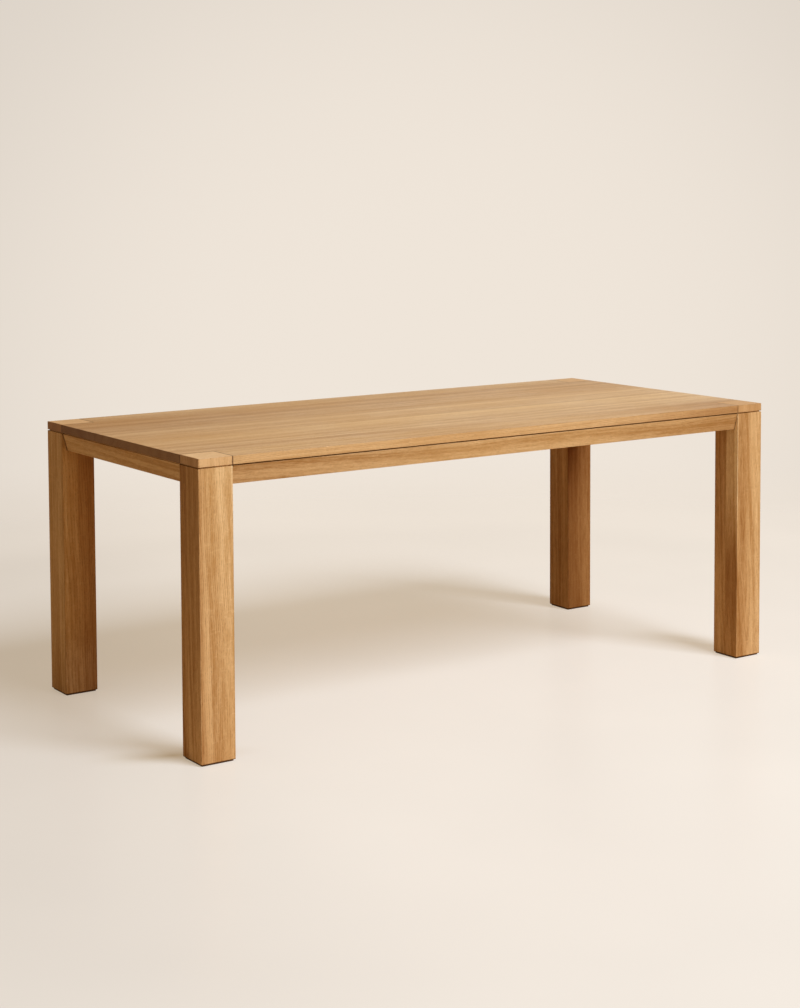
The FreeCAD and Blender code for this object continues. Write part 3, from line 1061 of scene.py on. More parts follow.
@dataclass(frozen=True)
class OakFinish:
    """One kind of oak under satin lacquer.

    Attributes:
        pale: Colour of clear late wood.
        deep: Colour of early wood and dark streaks.
        warm: Redder colour that drifts in over broad areas.
        pore: Colour inside the open pores and of the joint lines.
        end: Colour that end grain takes.
        end_share: How far end grain takes it.
        band_share: How far broad bands of the rings show.
        ring_share: How far single rings show.
        streak_share: How far streaks along the grain show.
        dash_share: How far short dashes along the grain show.
        fibre_share: How far single fibres show.
        ray_share: How far rays show, below 0 because they are pale.
        contrast: Sums of those shares at which the wood is pale, and at which it is deep.
        drift_share: How far the warm colour drifts in.
        handled_share: How much more of it patches of handling have.
        pore_share: How far the open pores darken.
        ring_width: Width of one year's growth.
        gloss: Strength of the lacquer's reflection.
        roughness: Roughness of the lacquer where nothing adds to it.
        rough_steps: What patches, smears, pores, fibres and end grain add to it.
        relief: Height of the open grain.
        edge_share: How far the edges darken.
        edge_reach: How far from an edge that goes.
        tone_powers: Powers of a tone by which red, green and blue change.
    """

    pale: Colour
    deep: Colour
    warm: Colour
    pore: Colour
    end: Colour
    end_share: float = 0.5
    band_share: float = 0.42
    ring_share: float = 0.12
    streak_share: float = 0.34
    dash_share: float = 0.16
    fibre_share: float = 0.10
    ray_share: float = -0.06
    contrast: Pair = (0.0, 1.0)
    drift_share: float = 0.40
    handled_share: float = 0.12
    pore_share: float = 0.5
    ring_width: float = 0.0034
    gloss: float = 0.5
    roughness: float = 0.38
    rough_steps: tuple[float, ...] = (0.05, 0.04, 0.20, 0.05, 0.08)
    relief: float = 0.00012
    edge_share: float = 0.35
    edge_reach: float = 0.0016
    tone_powers: Triple = (1.0, 1.5, 2.1)

    def make(self, name: str, cut: Cut, node: str, effects: Effects) -> bpy.types.Material:
        """Makes the oak of one piece.

        Args:
            name: The material's name.
            cut: How the piece was cut.
            node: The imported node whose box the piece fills.
            effects: The shared groups.

        Returns:
            The material.
        """
        tree = OakTree(name, node, effects, cut, self.ring_width)
        tree.surface.inputs["Specular IOR Level"].default_value = self.gloss
        added = (
            tree.handling["Patches"],
            tree.handling["Smears"],
            tree.figure["Pores"],
            tree.figure["Fibre"],
            tree.end_grain,
        )
        rough = tree.total(*zip(added, self.rough_steps), (1.0, self.roughness))
        return tree.finish(self.colour(tree, cut), rough, tree.figure["Height"], self.relief)

    def colour(self, tree: OakTree, cut: Cut) -> Socket:
        """Lays figure, warm drift, pores, end grain, edges, dark lines and tones together.

        Args:
            tree: The material's tree.
            cut: How the piece was cut.

        Returns:
            The colour's socket.
        """
        figure = tree.figure
        darkness = tree.total(
            (figure["Bands"], self.band_share),
            (figure["Rings"], self.ring_share),
            (figure["Streaks"], self.streak_share),
            (figure["Dashes"], self.dash_share),
            (figure["Fibre"], self.fibre_share),
            (figure["Rays"], self.ray_share),
        )
        colour = tree.mix(tree.ease(darkness, *self.contrast), self.pale, self.deep)
        warmth = tree.total(
            (figure["Drift"], self.drift_share), (tree.handling["Patches"], self.handled_share)
        )
        colour = tree.mix(warmth, colour, self.warm)
        for mask, share, over in (
            (figure["Pores"], self.pore_share, self.pore),
            (tree.end_grain, self.end_share, self.end),
            (tree.wear(self.edge_reach), self.edge_share, self.pore),
        ):
            colour = tree.mix(tree.math("MULTIPLY", mask, share), colour, over)
        for line in cut.dark_lines:
            place = tree.parts(tree.centred)[line.axis.value]
            apart = tree.math("MULTIPLY_ADD", place, -line.side, tree.half[line.axis.value])
            mask = tree.ease(apart, line.width, line.core * line.width)
            colour = tree.mix(mask, colour, self.pore)
        level = cut.level(tree, tree.turned, tree.half)
        tones = tree.node("CombineXYZ")
        for socket, power in zip(tones.inputs, self.tone_powers):
            tree.feed(socket, tree.math("POWER", level, power))
        return tree.vector("MULTIPLY", colour, tones.outputs[0])


@dataclass(frozen=True)
class SteelFinish:
    """Zinc-plated steel.

    Attributes:
        bright: Colour of the brightest crystals.
        dull: Colour of the dullest ones.
        crystals: Number of crystals to the metre.
        roughness: Roughness where nothing adds to it.
        rough_steps: What clouds and crystals add to it.
        clouds: Number of clouds to the metre.
        grain: Number of grains to the metre.
        shares: Shares of crystals, clouds and grain in the colour.
        edge_reach: How far from an edge the zinc is rubbed bright.
        edge_share: How bright it is there.
        heights: How high crystals and grain stand.
        relief: Height of the relief.
    """

    bright: Colour
    dull: Colour
    crystals: float
    roughness: float
    rough_steps: Pair = (0.14, 0.10)
    clouds: float = 60.0
    grain: float = 2500.0
    shares: Triple = (0.50, 0.35, 0.15)
    edge_reach: float = 0.001
    edge_share: float = 0.4
    heights: Pair = (0.6, 0.4)
    relief: float = 0.00002

    def make(self, name: str, node: str, effects: Effects) -> bpy.types.Material:
        """Makes the steel of one node.

        Args:
            name: The material's name.
            node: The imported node.
            effects: The shared groups.

        Returns:
            The material.
        """
        tree = PieceTree(name, node, effects)
        tree.surface.inputs["Metallic"].default_value = 1.0
        crystals = tree.parts(tree.cells(tree.where, self.crystals).outputs["Color"])[0]
        clouds = tree.ease(tree.noise(tree.where, self.clouds, detail=4.0), *NOISE_SPREAD)
        grain = tree.noise(tree.where, self.grain, detail=1.0)
        bright = tree.total(*zip((crystals, clouds, grain), self.shares))
        colour = tree.mix(bright, self.dull, self.bright)
        worn = tree.math("MULTIPLY", tree.wear(self.edge_reach), self.edge_share)
        rough = tree.total(*zip((clouds, crystals), self.rough_steps), (1.0, self.roughness))
        height = tree.total(*zip((crystals, grain), self.heights))
        return tree.finish(tree.mix(worn, colour, self.bright), rough, height, self.relief)


@dataclass(frozen=True)
class PlasticFinish:
    """Dark moulded plastic with a fine spark texture, scuffed along its edges.

    Attributes:
        colour: Colour of the plastic.
        scuffed: Colour where it has rubbed.
        roughness: Roughness where nothing adds to it.
        rough_steps: What sparks and scratches add to it.
        sparks: Number of sparks to the metre.
        scratches: Number of scratches to the metre along each axis.
        scratch_spread: Values of their noise between which a scratch shows.
        edge_reach: How far from an edge it is scuffed.
        shares: How far edges, scratches and sparks take the scuffed colour.
        heights: How high sparks and scratches stand.
        relief: Height of the relief.
    """

    colour: Colour
    scuffed: Colour
    roughness: float = 0.40
    rough_steps: Pair = (0.20, 0.15)
    sparks: float = 1600.0
    scratches: Triple = (30.0, 420.0, 60.0)
    scratch_spread: Pair = (0.56, 0.72)
    edge_reach: float = 0.0015
    shares: Triple = (0.45, 0.35, 0.20)
    heights: Pair = (1.0, -0.5)
    relief: float = 0.00006

    def make(self, name: str, node: str, effects: Effects) -> bpy.types.Material:
        """Makes the plastic of one node.

        Args:
            name: The material's name.
            node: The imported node.
            effects: The shared groups.

        Returns:
            The material.
        """
        tree = PieceTree(name, node, effects)
        sparks = tree.noise(tree.where, self.sparks, roughness=0.6)
        lines = tree.noise(tree.where, self.scratches, detail=3.0)
        scratches = tree.ease(lines, *self.scratch_spread)
        masks = (tree.wear(self.edge_reach), scratches, sparks)
        colour = tree.mix(tree.total(*zip(masks, self.shares)), self.colour, self.scuffed)
        rough = tree.total(*zip((sparks, scratches), self.rough_steps), (1.0, self.roughness))
        height = tree.total(*zip((sparks, scratches), self.heights))
        return tree.finish(colour, rough, height, self.relief)


def dress(piece: bpy.types.Object, material: bpy.types.Material) -> None:
    """Gives a piece one material in place of all its own.

    Args:
        piece: The mesh object.
        material: What it gets.
    """
    piece.data.materials.clear()
    piece.data.materials.append(material)


def stand_for(piece: bpy.types.Object, node: str) -> None:
    """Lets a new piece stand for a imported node.

    Args:
        piece: The new piece.
        node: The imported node.
    """
    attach(piece, ROOT_BODY)
    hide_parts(node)


HONEY_OAK = OakFinish(
    pale=(0.790, 0.568, 0.318),
    deep=(0.420, 0.222, 0.078),
    warm=(0.600, 0.352, 0.130),
    pore=(0.130, 0.055, 0.018),
    end=(0.180, 0.070, 0.014),
    end_share=0.70,
    band_share=0.30,
    streak_share=0.24,
    dash_share=0.16,
    contrast=(0.08, 0.82),
    gloss=0.65,
)
POST_OAK = replace(
    HONEY_OAK, gloss=0.08, dash_share=0.20, contrast=(0.10, 0.76), end_share=0.30
)
BLOCK_OAK = OakFinish(
    pale=(0.720, 0.488, 0.262),
    deep=(0.530, 0.318, 0.138),
    warm=(0.590, 0.342, 0.142),
    pore=(0.120, 0.050, 0.018),
    end=(0.725, 0.478, 0.250),
    end_share=0.55,
    edge_reach=0.0020,
)
PLAIN_OAK = OakFinish(
    pale=(0.640, 0.400, 0.190),
    deep=(0.430, 0.235, 0.095),
    warm=(0.520, 0.280, 0.110),
    pore=(0.150, 0.070, 0.025),
    end=(0.330, 0.180, 0.075),
    roughness=0.54,
    relief=0.00025,
)
BEECH = OakFinish(
    pale=(0.660, 0.440, 0.260),
    deep=(0.560, 0.340, 0.180),
    warm=(0.600, 0.370, 0.200),
    pore=(0.350, 0.190, 0.090),
    end=(0.400, 0.240, 0.120),
    roughness=0.54,
)
PLATE_STEEL = SteelFinish((0.62, 0.63, 0.64), (0.42, 0.43, 0.45), 140.0, 0.30)
BRIGHT_STEEL = SteelFinish((0.72, 0.71, 0.68), (0.50, 0.49, 0.46), 420.0, 0.18)
PAD_PLASTIC = PlasticFinish((0.085, 0.038, 0.014), (0.140, 0.075, 0.035))


# ---- Sub-assemblies ------------------------------------------------------------------------
@dataclass
class OakWork:
    """What the sub-assemblies of oak have in common.

    Attributes:
        effects: The shared shader groups.
    """

    effects: Effects

    def finished(
        self, piece: bpy.types.Object, node: str, finish: OakFinish, cut: Cut, slot: str
    ) -> bpy.types.Object:
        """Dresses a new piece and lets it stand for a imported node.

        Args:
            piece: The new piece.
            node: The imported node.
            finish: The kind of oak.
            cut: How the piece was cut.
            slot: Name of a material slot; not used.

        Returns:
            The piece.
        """
        dress(piece, finish.make(f"oak_of_{node}", cut, node, self.effects))
        stand_for(piece, node)
        return piece


@dataclass
class TableTop(OakWork):
    """Six boards glued edge to edge, with a square block let in at each corner.

    Attributes:
        board_arris: Rounding of the boards' edges, which shows as fine lines at the joints.
        block_arris: Rounding of the corner blocks' edges.
        boards: Cut of each board, from back to front, with painted shade along its length.
        blocks: Cut of each corner block.
    """

    board_arris: float = 0.0006
    block_arris: float = 0.0008
    # Painted shade: the back edge and inner boards' runs darken towards the left end, where less
    # light falls.
    boards: dict[str, Cut] = field(default_factory=lambda: {
        "top_board_back_edge": Cut(
            Axis.X, (-0.14, -0.10), (0.01, 0.01), seed=1.3, tone=0.97,
            staves=((0.90, 0.98, 1.02, 1.03, 1.04, 1.04),),
            dark_lines=end_lines(Axis.X, 0.0024, 0.0024),
        ),
        "top_board_wide_1": Cut(
            Axis.X, (0.16, -0.12), (0.02, 0.01), seed=2.1, profile=(0.91, 0.89, 0.87, 0.90),
            staves=((0.86, 0.95, 1.02, 1.04, 1.04, 1.04),),
        ),
        "top_board_wide_2": Cut(
            Axis.X, (-0.17, -0.13), (-0.02, 0.02), seed=3.6,
            profile=(1.03, 1.02, 1.03, 1.0, 0.96),
            staves=((0.86, 0.95, 1.01, 1.03, 1.04, 1.04),),
        ),
        "top_board_wide_3": Cut(
            Axis.X, (0.15, -0.15), (0.01, -0.02), seed=4.2,
            profile=(1.05, 1.04, 1.07, 1.12, 1.09),
            staves=((0.88, 0.95, 1.01, 1.03, 1.03, 1.03),),
        ),
        "top_board_narrow": Cut(
            Axis.X, (0.10, -0.12), (0.0, 0.02), seed=5.7, tone=0.94,
            staves=((0.92, 0.99, 1.04, 1.06, 1.06, 1.05),),
        ),
        "top_board_front_edge": Cut(
            Axis.X, (-0.12, -0.09), (0.01, 0.01), seed=6.4, profile=(1.01, 1.09, 1.09),
            staves=((0.98, 0.98, 0.93, 1.00, 0.90, 0.72),),
            dark_lines=end_lines(Axis.X, 0.0024, 0.0016),
        ),
    })
    blocks: dict[str, Cut] = field(default_factory=lambda: {
        "corner_block_front_left": Cut(
            Axis.Z, (0.07, 0.05), seed=11.2, tone=1.10, joints=(0.0, 0.92),
            staves=((1.0, 1.0), (1.0, 1.0), (0.80, 0.80), (0.80, 0.80)),
            dark_lines=(DarkLine(Axis.X, 1, 0.0024), DarkLine(Axis.Y, 1, 0.0055)),
        ),
        "corner_block_front_right": Cut(
            Axis.Z, (-0.06, 0.06), seed=12.7, tone=0.90,
            dark_lines=(DarkLine(Axis.X, -1, 0.0016), DarkLine(Axis.Y, 1, 0.0020)),
        ),
        "corner_block_back_left": Cut(
            Axis.Z, (0.05, -0.07), seed=13.1, joints=(0.0, 0.92),
            staves=((1.0, 1.0), (1.0, 1.0), (0.64, 0.64), (0.64, 0.64)),
            dark_lines=(DarkLine(Axis.X, 1, 0.0024), DarkLine(Axis.Y, -1, 0.0040)),
        ),
        "corner_block_back_right": Cut(
            Axis.Z, (-0.05, -0.06), seed=14.9,
            dark_lines=(DarkLine(Axis.X, -1, 0.0024), DarkLine(Axis.Y, -1, 0.0024)),
        ),
    })

    def build(self) -> list[bpy.types.Object]:
        """Builds and dresses the boards and blocks.

        Returns:
            The new pieces.
        """
        pieces = []
        for node, cut in self.boards.items():
            board = sawn_block(f"oak_{node}", node, Axis.X, self.board_arris)
            pieces.append(self.finished(board, node, HONEY_OAK, cut, "top_wood"))
        for node, cut in self.blocks.items():
            corner = sawn_block(f"oak_{node}", node, Axis.Z, self.block_arris)
            pieces.append(self.finished(corner, node, BLOCK_OAK, cut, "block_wood"))
        return pieces


@dataclass(frozen=True)
class Recess:
    """Narrow recess that runs round the table under the top.

    Attributes:
        height: Its height.
        depth: Its depth, from the legs' outer faces.
    """

    height: float = 0.003
    depth: float = 0.004


@dataclass
class LegSet(OakWork):
    """Four square legs, recessed under the top and cut flat at the inner corner.

    Attributes:
        arris: Rounding of the upright edges and the foot.
        recess: The recess under the top.
        apron_height: Height of the aprons, over which the inner corner is cut flat.
        corner_flat: Size of that flat along each side.
        small_flat: Size of the flat on the inner corner below the aprons.
        foot_line: Width of the dark line round each foot.
        legs: Cut of each leg.  Staves come as front right, back right, front left and
            back left.
    """

    arris: float = 0.0010
    recess: Recess = Recess()
    apron_height: float = 0.050
    corner_flat: float = 0.018
    small_flat: float = 0.0016
    foot_line: float = 0.0026
    # Painted light and shade: beside the wood's own tones, the runs from foot to head copy how
    # light falls along each leg.
    legs: dict[str, Cut] = field(default_factory=lambda: {
        "leg_front_left": Cut(
            Axis.Z, (0.05, 0.10), (0.01, 0.02), seed=21.4,
            profile=(0.70, 0.98, 1.09, 1.01, 1.15, 1.22), joints=(0.3, 0.97),
            staves=(
                (0.83, 0.88, 0.92, 0.96, 0.99, 1.01, 1.03),
                (0.95, 1.05),
                (1.36, 1.30, 1.21, 1.16, 1.11),
                (1.18, 1.14, 1.05, 1.00, 0.96),
            ),
        ),
        "leg_front_right": Cut(
            Axis.Z, (-0.07, 0.02), (0.03, 0.05), bend=0.06, seed=22.8, sway=0.004,
            profile=(0.79, 0.75, 0.83, 0.93, 1.00, 1.06), joints=(0.0, 0.97),
            staves=(
                (0.98, 0.98, 1.0, 1.0),
                (1.0, 1.0),
                (1.22, 1.10, 0.96, 1.03, 1.60, 1.92, 1.96, 1.84),
                (1.30, 1.16),
            ),
        ),
        "leg_back_left": Cut(
            Axis.Z, (0.06, 0.06), (0.02, 0.01), seed=23.5, tone=0.91,
            profile=(1.27, 1.17, 1.06, 0.88, 0.82, 0.80), joints=(-0.97, 0.05),
            staves=(
                (0.72, 0.93, 1.08, 1.05, 0.98, 0.97, 0.88, 0.78),
                (1.0, 1.0),
                (0.70, 0.91, 1.06, 1.05, 1.08, 1.12, 1.06, 0.96),
                (0.90, 0.95, 0.96, 0.95),
            ),
        ),
        # Painted shadow: the back right leg's runs are much darker, standing for the top's shadow
        # over it.
        "leg_back_right": Cut(
            Axis.Z, (-0.05, 0.07), (0.02, 0.02), seed=24.9,
            profile=(0.81, 0.85, 0.88, 1.03, 1.13, 1.17), joints=(-0.97, 0.0),
            staves=(
                (0.54, 0.55, 0.555, 0.555, 0.53, 0.43, 0.36, 0.30),
                (0.90, 0.90),
                (0.60, 0.62, 0.62, 0.61, 0.54, 0.41, 0.34, 0.28),
                (1.13, 1.03),
            ),
        ),
    })

    @staticmethod
    def outline(low: Vector, high: Vector, inset: float, flat: float) -> tuple[Pair, ...]:
        """Section of a leg with its inner corner, the one nearest the origin, cut off.

        Args:
            low: Lowest corner of the leg's box.
            high: Highest corner of it.
            inset: How far the two outer sides are set in.
            flat: Size of the cut along each side of the inner corner.

        Returns:
            Five corners, anticlockwise, with the same one first at every level.
        """
        side_x = 1.0 if high.x > 0 else -1.0
        side_y = 1.0 if high.y > 0 else -1.0
        inner_x, outer_x = (low.x, high.x) if side_x > 0 else (high.x, low.x)
        inner_y, outer_y = (low.y, high.y) if side_y > 0 else (high.y, low.y)
        outer_x -= side_x * inset
        outer_y -= side_y * inset
        corners = (
            (inner_x, inner_y + side_y * flat),
            (inner_x + side_x * flat, inner_y),
            (outer_x, inner_y),
            (outer_x, outer_y),
            (inner_x, outer_y),
        )
        return corners if side_x * side_y > 0 else corners[::-1]

    def surface(self, node: str) -> bpy.types.Object:
        """Carries the leg's section up from the foot, with a ledge where it changes.

        Args:
            node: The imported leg.

        Returns:
            The new piece.
        """
        low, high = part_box(node)
        plate_foot = high.z - self.apron_height
        recess_foot = high.z - self.recess.height
        whole, plated, recessed = (
            Section(self.outline(low, high, inset, flat), self.arris)
            for inset, flat in (
                (0.0, self.small_flat),
                (0.0, self.corner_flat),
                (self.recess.depth, self.corner_flat),
            )
        )
        levels = [
            (low.z, whole),
            (plate_foot, whole),
            (plate_foot, plated),
            (recess_foot, plated),
            (recess_foot, recessed),
            (high.z, recessed),
        ]
        return carried(f"oak_{node}", Axis.Z, levels, (True, False))

    def build(self) -> list[bpy.types.Object]:
        """Builds and dresses the legs.

        Returns:
            The new pieces.
        """
        foot = DarkLine(Axis.Z, -1, self.foot_line)
        pieces = []
        for node, cut in self.legs.items():
            lined = replace(cut, dark_lines=(foot,))
            pieces.append(self.finished(self.surface(node), node, POST_OAK, lined, "leg_wood"))
        return pieces


@dataclass
class ApronFrame(OakWork):
    """Four aprons whose outer faces lean inwards towards the floor.

    Attributes:
        arris: Rounding of their long edges.
        lean: How much farther in the foot of the outer face lies than its head.
        recess: The recess under the top.
        setback: How far the head of the outer face lies in from the leg's outer face.
        aprons: Cut of each apron.
    """

    arris: float = 0.0008
    lean: float = 0.013
    recess: Recess = Recess()
    setback: float = 0.001
    # Painted shade: the lines at the aprons' ends are dark joints widened into the shade where
    # each apron meets a leg.
    aprons: dict[str, Cut] = field(default_factory=lambda: {
        "apron_front": Cut(
            Axis.X, (0.03, 0.09), (0.03, -0.03), bend=0.05, seed=31.6,
            staves=((0.88, 1.00, 1.15, 1.10, 1.06, 0.90),),
            # Painted shade: the line along the head darkens the recess under the top.
            dark_lines=(*end_lines(Axis.X, 0.0030, 0.0030), DarkLine(Axis.Z, 1, 0.0046)),
        ),
        "apron_back": Cut(
            Axis.X, (-0.03, 0.08), (0.02, 0.03), seed=32.3, tone=1.04,
            dark_lines=end_lines(Axis.X, 0.0030, 0.0030),
        ),
        "apron_left": Cut(
            Axis.Y, (0.04, 0.08), (0.02, 0.03), seed=33.8, tone=1.11,
            dark_lines=end_lines(Axis.Y, 0.0040, 0.0090),
        ),
        "apron_right": Cut(
            Axis.Y, (-0.04, 0.08), (0.02, 0.03), seed=34.1,
            dark_lines=end_lines(Axis.Y, 0.0040, 0.0040),
        ),
    })

    def surface(self, node: str, axis: Axis) -> bpy.types.Object:
        """Carries the apron's section from leg to leg.

        Args:
            node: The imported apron.
            axis: Direction of its length.

        Returns:
            The new piece.
        """
        low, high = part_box(node)
        across = 1 if axis is Axis.X else 0
        outwards = 1.0 if high[across] > 0 else -1.0
        inner, outer = (low, high) if outwards > 0 else (high, low)
        inner, outer = inner[across], outer[across]
        shelf = outer - outwards * (self.recess.depth - self.setback)
        recess_foot = high.z - self.recess.height
        corners = (
            (outer - outwards * self.lean, low.z),
            (outer, recess_foot),
            (shelf, recess_foot),
            (shelf, high.z),
            (inner, high.z),
            (inner, low.z),
        )
        if axis is Axis.Y:
            corners = tuple((height, place) for place, height in corners)
        clockwise = (outwards > 0) == (axis is Axis.Y)
        section = Section(corners[::-1] if clockwise else corners, self.arris)
        levels = [(low[axis.value], section), (high[axis.value], section)]
        return carried(f"oak_{node}", axis, levels, (True, True))

    def build(self) -> list[bpy.types.Object]:
        """Builds and dresses the aprons.

        Returns:
            The new pieces.
        """
        return [
            self.finished(self.surface(node, cut.grain), node, POST_OAK, cut, "apron_wood")
            for node, cut in self.aprons.items()
        ]


@dataclass
class Underside:
    """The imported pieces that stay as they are: rails, joinery, steel and pads.

    Attributes:
        effects: The shared shader groups.
        nodes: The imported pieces, by name.
        rails: Cut of each cross rail.
    """

    effects: Effects
    nodes: dict[str, bpy.types.Object]
    rails: dict[str, Cut] = field(default_factory=lambda: {
        "cross_rail_left": Cut(Axis.Y, (0.05, 0.06), seed=41.2),
        "cross_rail_right": Cut(Axis.Y, (-0.05, 0.06), seed=42.6),
    })

    def material_of(self, node: str) -> bpy.types.Material | None:
        """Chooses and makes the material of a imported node.

        Args:
            node: The node's name.

        Returns:
            The material, or None for a node that a new piece stands for.
        """
        name = f"finish_of_{node}"
        if node in self.rails:
            return PLAIN_OAK.make(name, self.rails[node], node, self.effects)
        if node.startswith("board_tongue") or node.endswith("_dowels"):
            return BEECH.make(name, Cut(Axis.X, seed=float(len(node))), node, self.effects)
        if node.startswith(("corner_plate", "top_clips")):
            return PLATE_STEEL.make(name, node, self.effects)
        if node.startswith("glide_pad"):
            return PAD_PLASTIC.make(name, node, self.effects)
        if node.endswith(("_screws", "_bolts", "_washers", "_nuts")):
            return BRIGHT_STEEL.make(name, node, self.effects)
        return None

    def build(self) -> list[bpy.types.Object]:
        """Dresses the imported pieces.

        Returns:
            The pieces that were dressed.
        """
        dressed = []
        for node, piece in sorted(self.nodes.items()):
            material = self.material_of(node)
            if material is not None:
                dress(piece, material)
                dressed.append(piece)
        return dressed


# ---- Studio --------------------------------------------------------------------------------
@dataclass(frozen=True)
class Shade:
    """A soft painted shadow: a patch of the floor whose colour is darkened as if less light
    reached it.

    Attributes:
        place: Where it is darkest.
        turn: Angle of its length from the X axis.
        reach: Half its length and half its width.
        level: Its strength there, from 0 to 1.
    """

    place: Pair
    turn: float
    reach: Pair
    level: float


@dataclass
class Studio:
    """Seamless cream floor and backdrop, soft light from one side and weak fill all round.

    Attributes:
        floor_radius: Radius of the floor.
        floor_rings: Number of rings in its mesh.
        floor_spokes: Number of spokes in its mesh.
        fade: Distances from the table between which the floor fades into the backdrop.
        floor_lit: Part of the floor's colour that the lamps light.
        floor_glow: Part of it that shadow leaves.
        mottle: Patches to the metre in the floor's tone.
        mottle_tones: Tones between which they vary.
        floor_sheen: Share of light that the paper reflects near the table.
        sheen_roughness: Roughness of that reflection.
        sheen_fade: Distances from the table between which that share goes to nothing.
        shades: Painted shadows on the shaded side of the front feet.
        shade_colour: What a painted shadow leaves of the floor's colour where it is strongest.
        floor_dim: Places between which the floor brightens, and its tone at the first; this is
            painted falloff of the lamp's light.
        dim_direction: Direction along which those places are measured.
        bounce_colour: Colour of the floor in the light that it throws back.
        backdrop_colour: Colour of the backdrop where it is brightest.
        backdrop_middle: Direction in which it is brightest.
        backdrop_spread: Cosine of the angle at which it is dimmest.
        backdrop_dim: Its tone there.
        sheen_direction: Direction in which the backdrop is brightest in reflections.
        sheen_spread: Cosines between which reflections fade from the backdrop to the fill.
        sheen_least: Share of the backdrop that is left in them.
        fill_colour: Colour of the fill light.
        fill_level: Strength of the fill light.
        lamp_place: Place of the lamp.
        lamp_aim: Point that it faces.
        lamp_size: Length of the side of the square lamp.
        lamp_power: Its power in watts.
        lamp_colour: Its colour.
    """

    floor_radius: float = 14.0
    floor_rings: int = 24
    floor_spokes: int = 96
    fade: Pair = (1.3, 4.5)
    floor_lit: Colour = (0.386, 0.432, 0.498)
    floor_glow: Colour = (0.530, 0.443, 0.343)
    mottle: float = 1.5
    mottle_tones: Pair = (0.99, 1.01)
    floor_sheen: float = 0.08
    sheen_roughness: float = 0.28
    sheen_fade: Pair = (2.05, 2.55)
    # Painted shadows beside the front feet, which darken the floor's colour.
    shades: tuple[Shade, ...] = (
        Shade(place=(-0.965, -0.312), turn=2.74, reach=(0.26, 0.085), level=1.0),
        Shade(place=(0.905, -0.170), turn=2.06, reach=(0.30, 0.10), level=0.45),
    )
    shade_colour: Colour = (0.70, 0.62, 0.49)
    floor_dim: Triple = (-1.25, -0.30, 0.88)
    dim_direction: Triple = (0.92, -0.39, 0.0)
    bounce_colour: Colour = (0.56, 0.37, 0.20)
    backdrop_colour: Colour = (0.863, 0.783, 0.694)
    backdrop_middle: Triple = (0.5787, 0.8083, -0.1080)
    backdrop_spread: float = 0.95
    backdrop_dim: float = 0.84
    sheen_direction: Triple = (0.7586, 0.6365, 0.1390)
    sheen_spread: Pair = (0.88, 0.985)
    sheen_least: float = 0.1
    fill_colour: Colour = (1.0, 0.68, 0.385)
    fill_level: float = 0.26
    lamp_place: Triple = (2.50, -8.55, 9.72)
    lamp_aim: Triple = (0.0, 0.0, 0.738)
    lamp_size: float = 5.7
    lamp_power: float = 1777.0
    lamp_colour: Colour = (1.0, 0.975, 0.935)

    def floor(self) -> bpy.types.Object:
        """Lays a round floor as rings about the table.

        Point (i, j) lies at radius R i / rings and angle 2 pi j / spokes.

        Returns:
            The floor.
        """
        rings, spokes = self.floor_rings, self.floor_spokes
        radii = self.floor_radius * np.linspace(0.0, 1.0, rings + 1)[1:, None]
        angles = np.linspace(0.0, 2 * np.pi, spokes, endpoint=False)[None, :]
        flat = np.zeros((rings, spokes))
        points = np.stack([radii * np.cos(angles), radii * np.sin(angles), flat], axis=2)
        index = np.arange(rings * spokes).reshape(rings, spokes)
        ahead = np.roll(index, -1, axis=1)
        quads = np.stack([index[:-1], index[1:], ahead[1:], ahead[:-1]], axis=2)
        faces = quads.reshape(-1, 4).tolist() + [index[0].tolist()]
        mesh = bpy.data.meshes.new("studio_floor")
        mesh.from_pydata(points.reshape(-1, 3), [], faces)
        floor = place_mesh("studio_floor", mesh)
        dress(floor, self.floor_material())
        return floor

    def floor_material(self) -> bpy.types.Material:
        """Makes matt paper that is pale to the eye and throws back little light.

        Returns:
            The material.
        """
        material = bpy.data.materials.new("seamless_paper")
        material.use_nodes = True
        tree = Tree(material.node_tree)
        place = tree.node("TexCoord").outputs["Object"]
        distance = tree.vector("LENGTH", place, out="Value")
        colour = self.paper_colour(tree, place)
        lit = tree.shader("BsdfDiffuse", Color=tree.vector("MULTIPLY", colour, self.floor_lit))
        glow = tree.shader("Emission", Color=tree.vector("MULTIPLY", colour, self.floor_glow))
        matt = tree.node("AddShader")
        tree.feed(matt.inputs[0], lit)
        tree.feed(matt.inputs[1], glow)
        sheen = tree.shader("BsdfGlossy", Roughness=self.sheen_roughness)
        share = tree.ease(distance, *self.sheen_fade, self.floor_sheen, 0.0)
        seen = tree.choose(share, matt.outputs[0], sheen)
        bounce = tree.shader("BsdfDiffuse", Color=self.bounce_colour)
        from_camera = tree.node("LightPath").outputs["Is Camera Ray"]
        near = tree.choose(from_camera, bounce, seen)
        faded = tree.ease(distance, *self.fade)
        tree.end(tree.choose(faded, near, tree.shader("BsdfTransparent")))
        return material

    def paper_colour(self, tree: Tree, place: Socket) -> Socket:
        """Works out the floor's tone, with its painted falloff, and its painted shadows.

        Args:
            tree: The floor's tree.
            place: Socket of the place on the floor.

        Returns:
            The socket of a factor for each channel.
        """
        mottle = tree.noise(place, self.mottle)
        # Painted falloff: the floor's colour darkens towards the left, away from the lamp.
        across = tree.vector("DOT_PRODUCT", place, self.dim_direction, out="Value")
        tone = tree.math(
            "MULTIPLY",
            tree.ease(mottle, *NOISE_SPREAD, *self.mottle_tones),
            tree.ease(across, *self.floor_dim, 1.0),
        )
        return tree.scaled(self.shaded(tree, place), tone)

    def shaded(self, tree: Tree, place: Socket) -> Socket:
        """Works out what the painted shadows leave of the floor's colour.

        Args:
            tree: The floor's tree.
            place: Socket of the place on the floor.

        Returns:
            The socket of a factor for each channel.
        """
        left = (1.0, 1.0, 1.0)
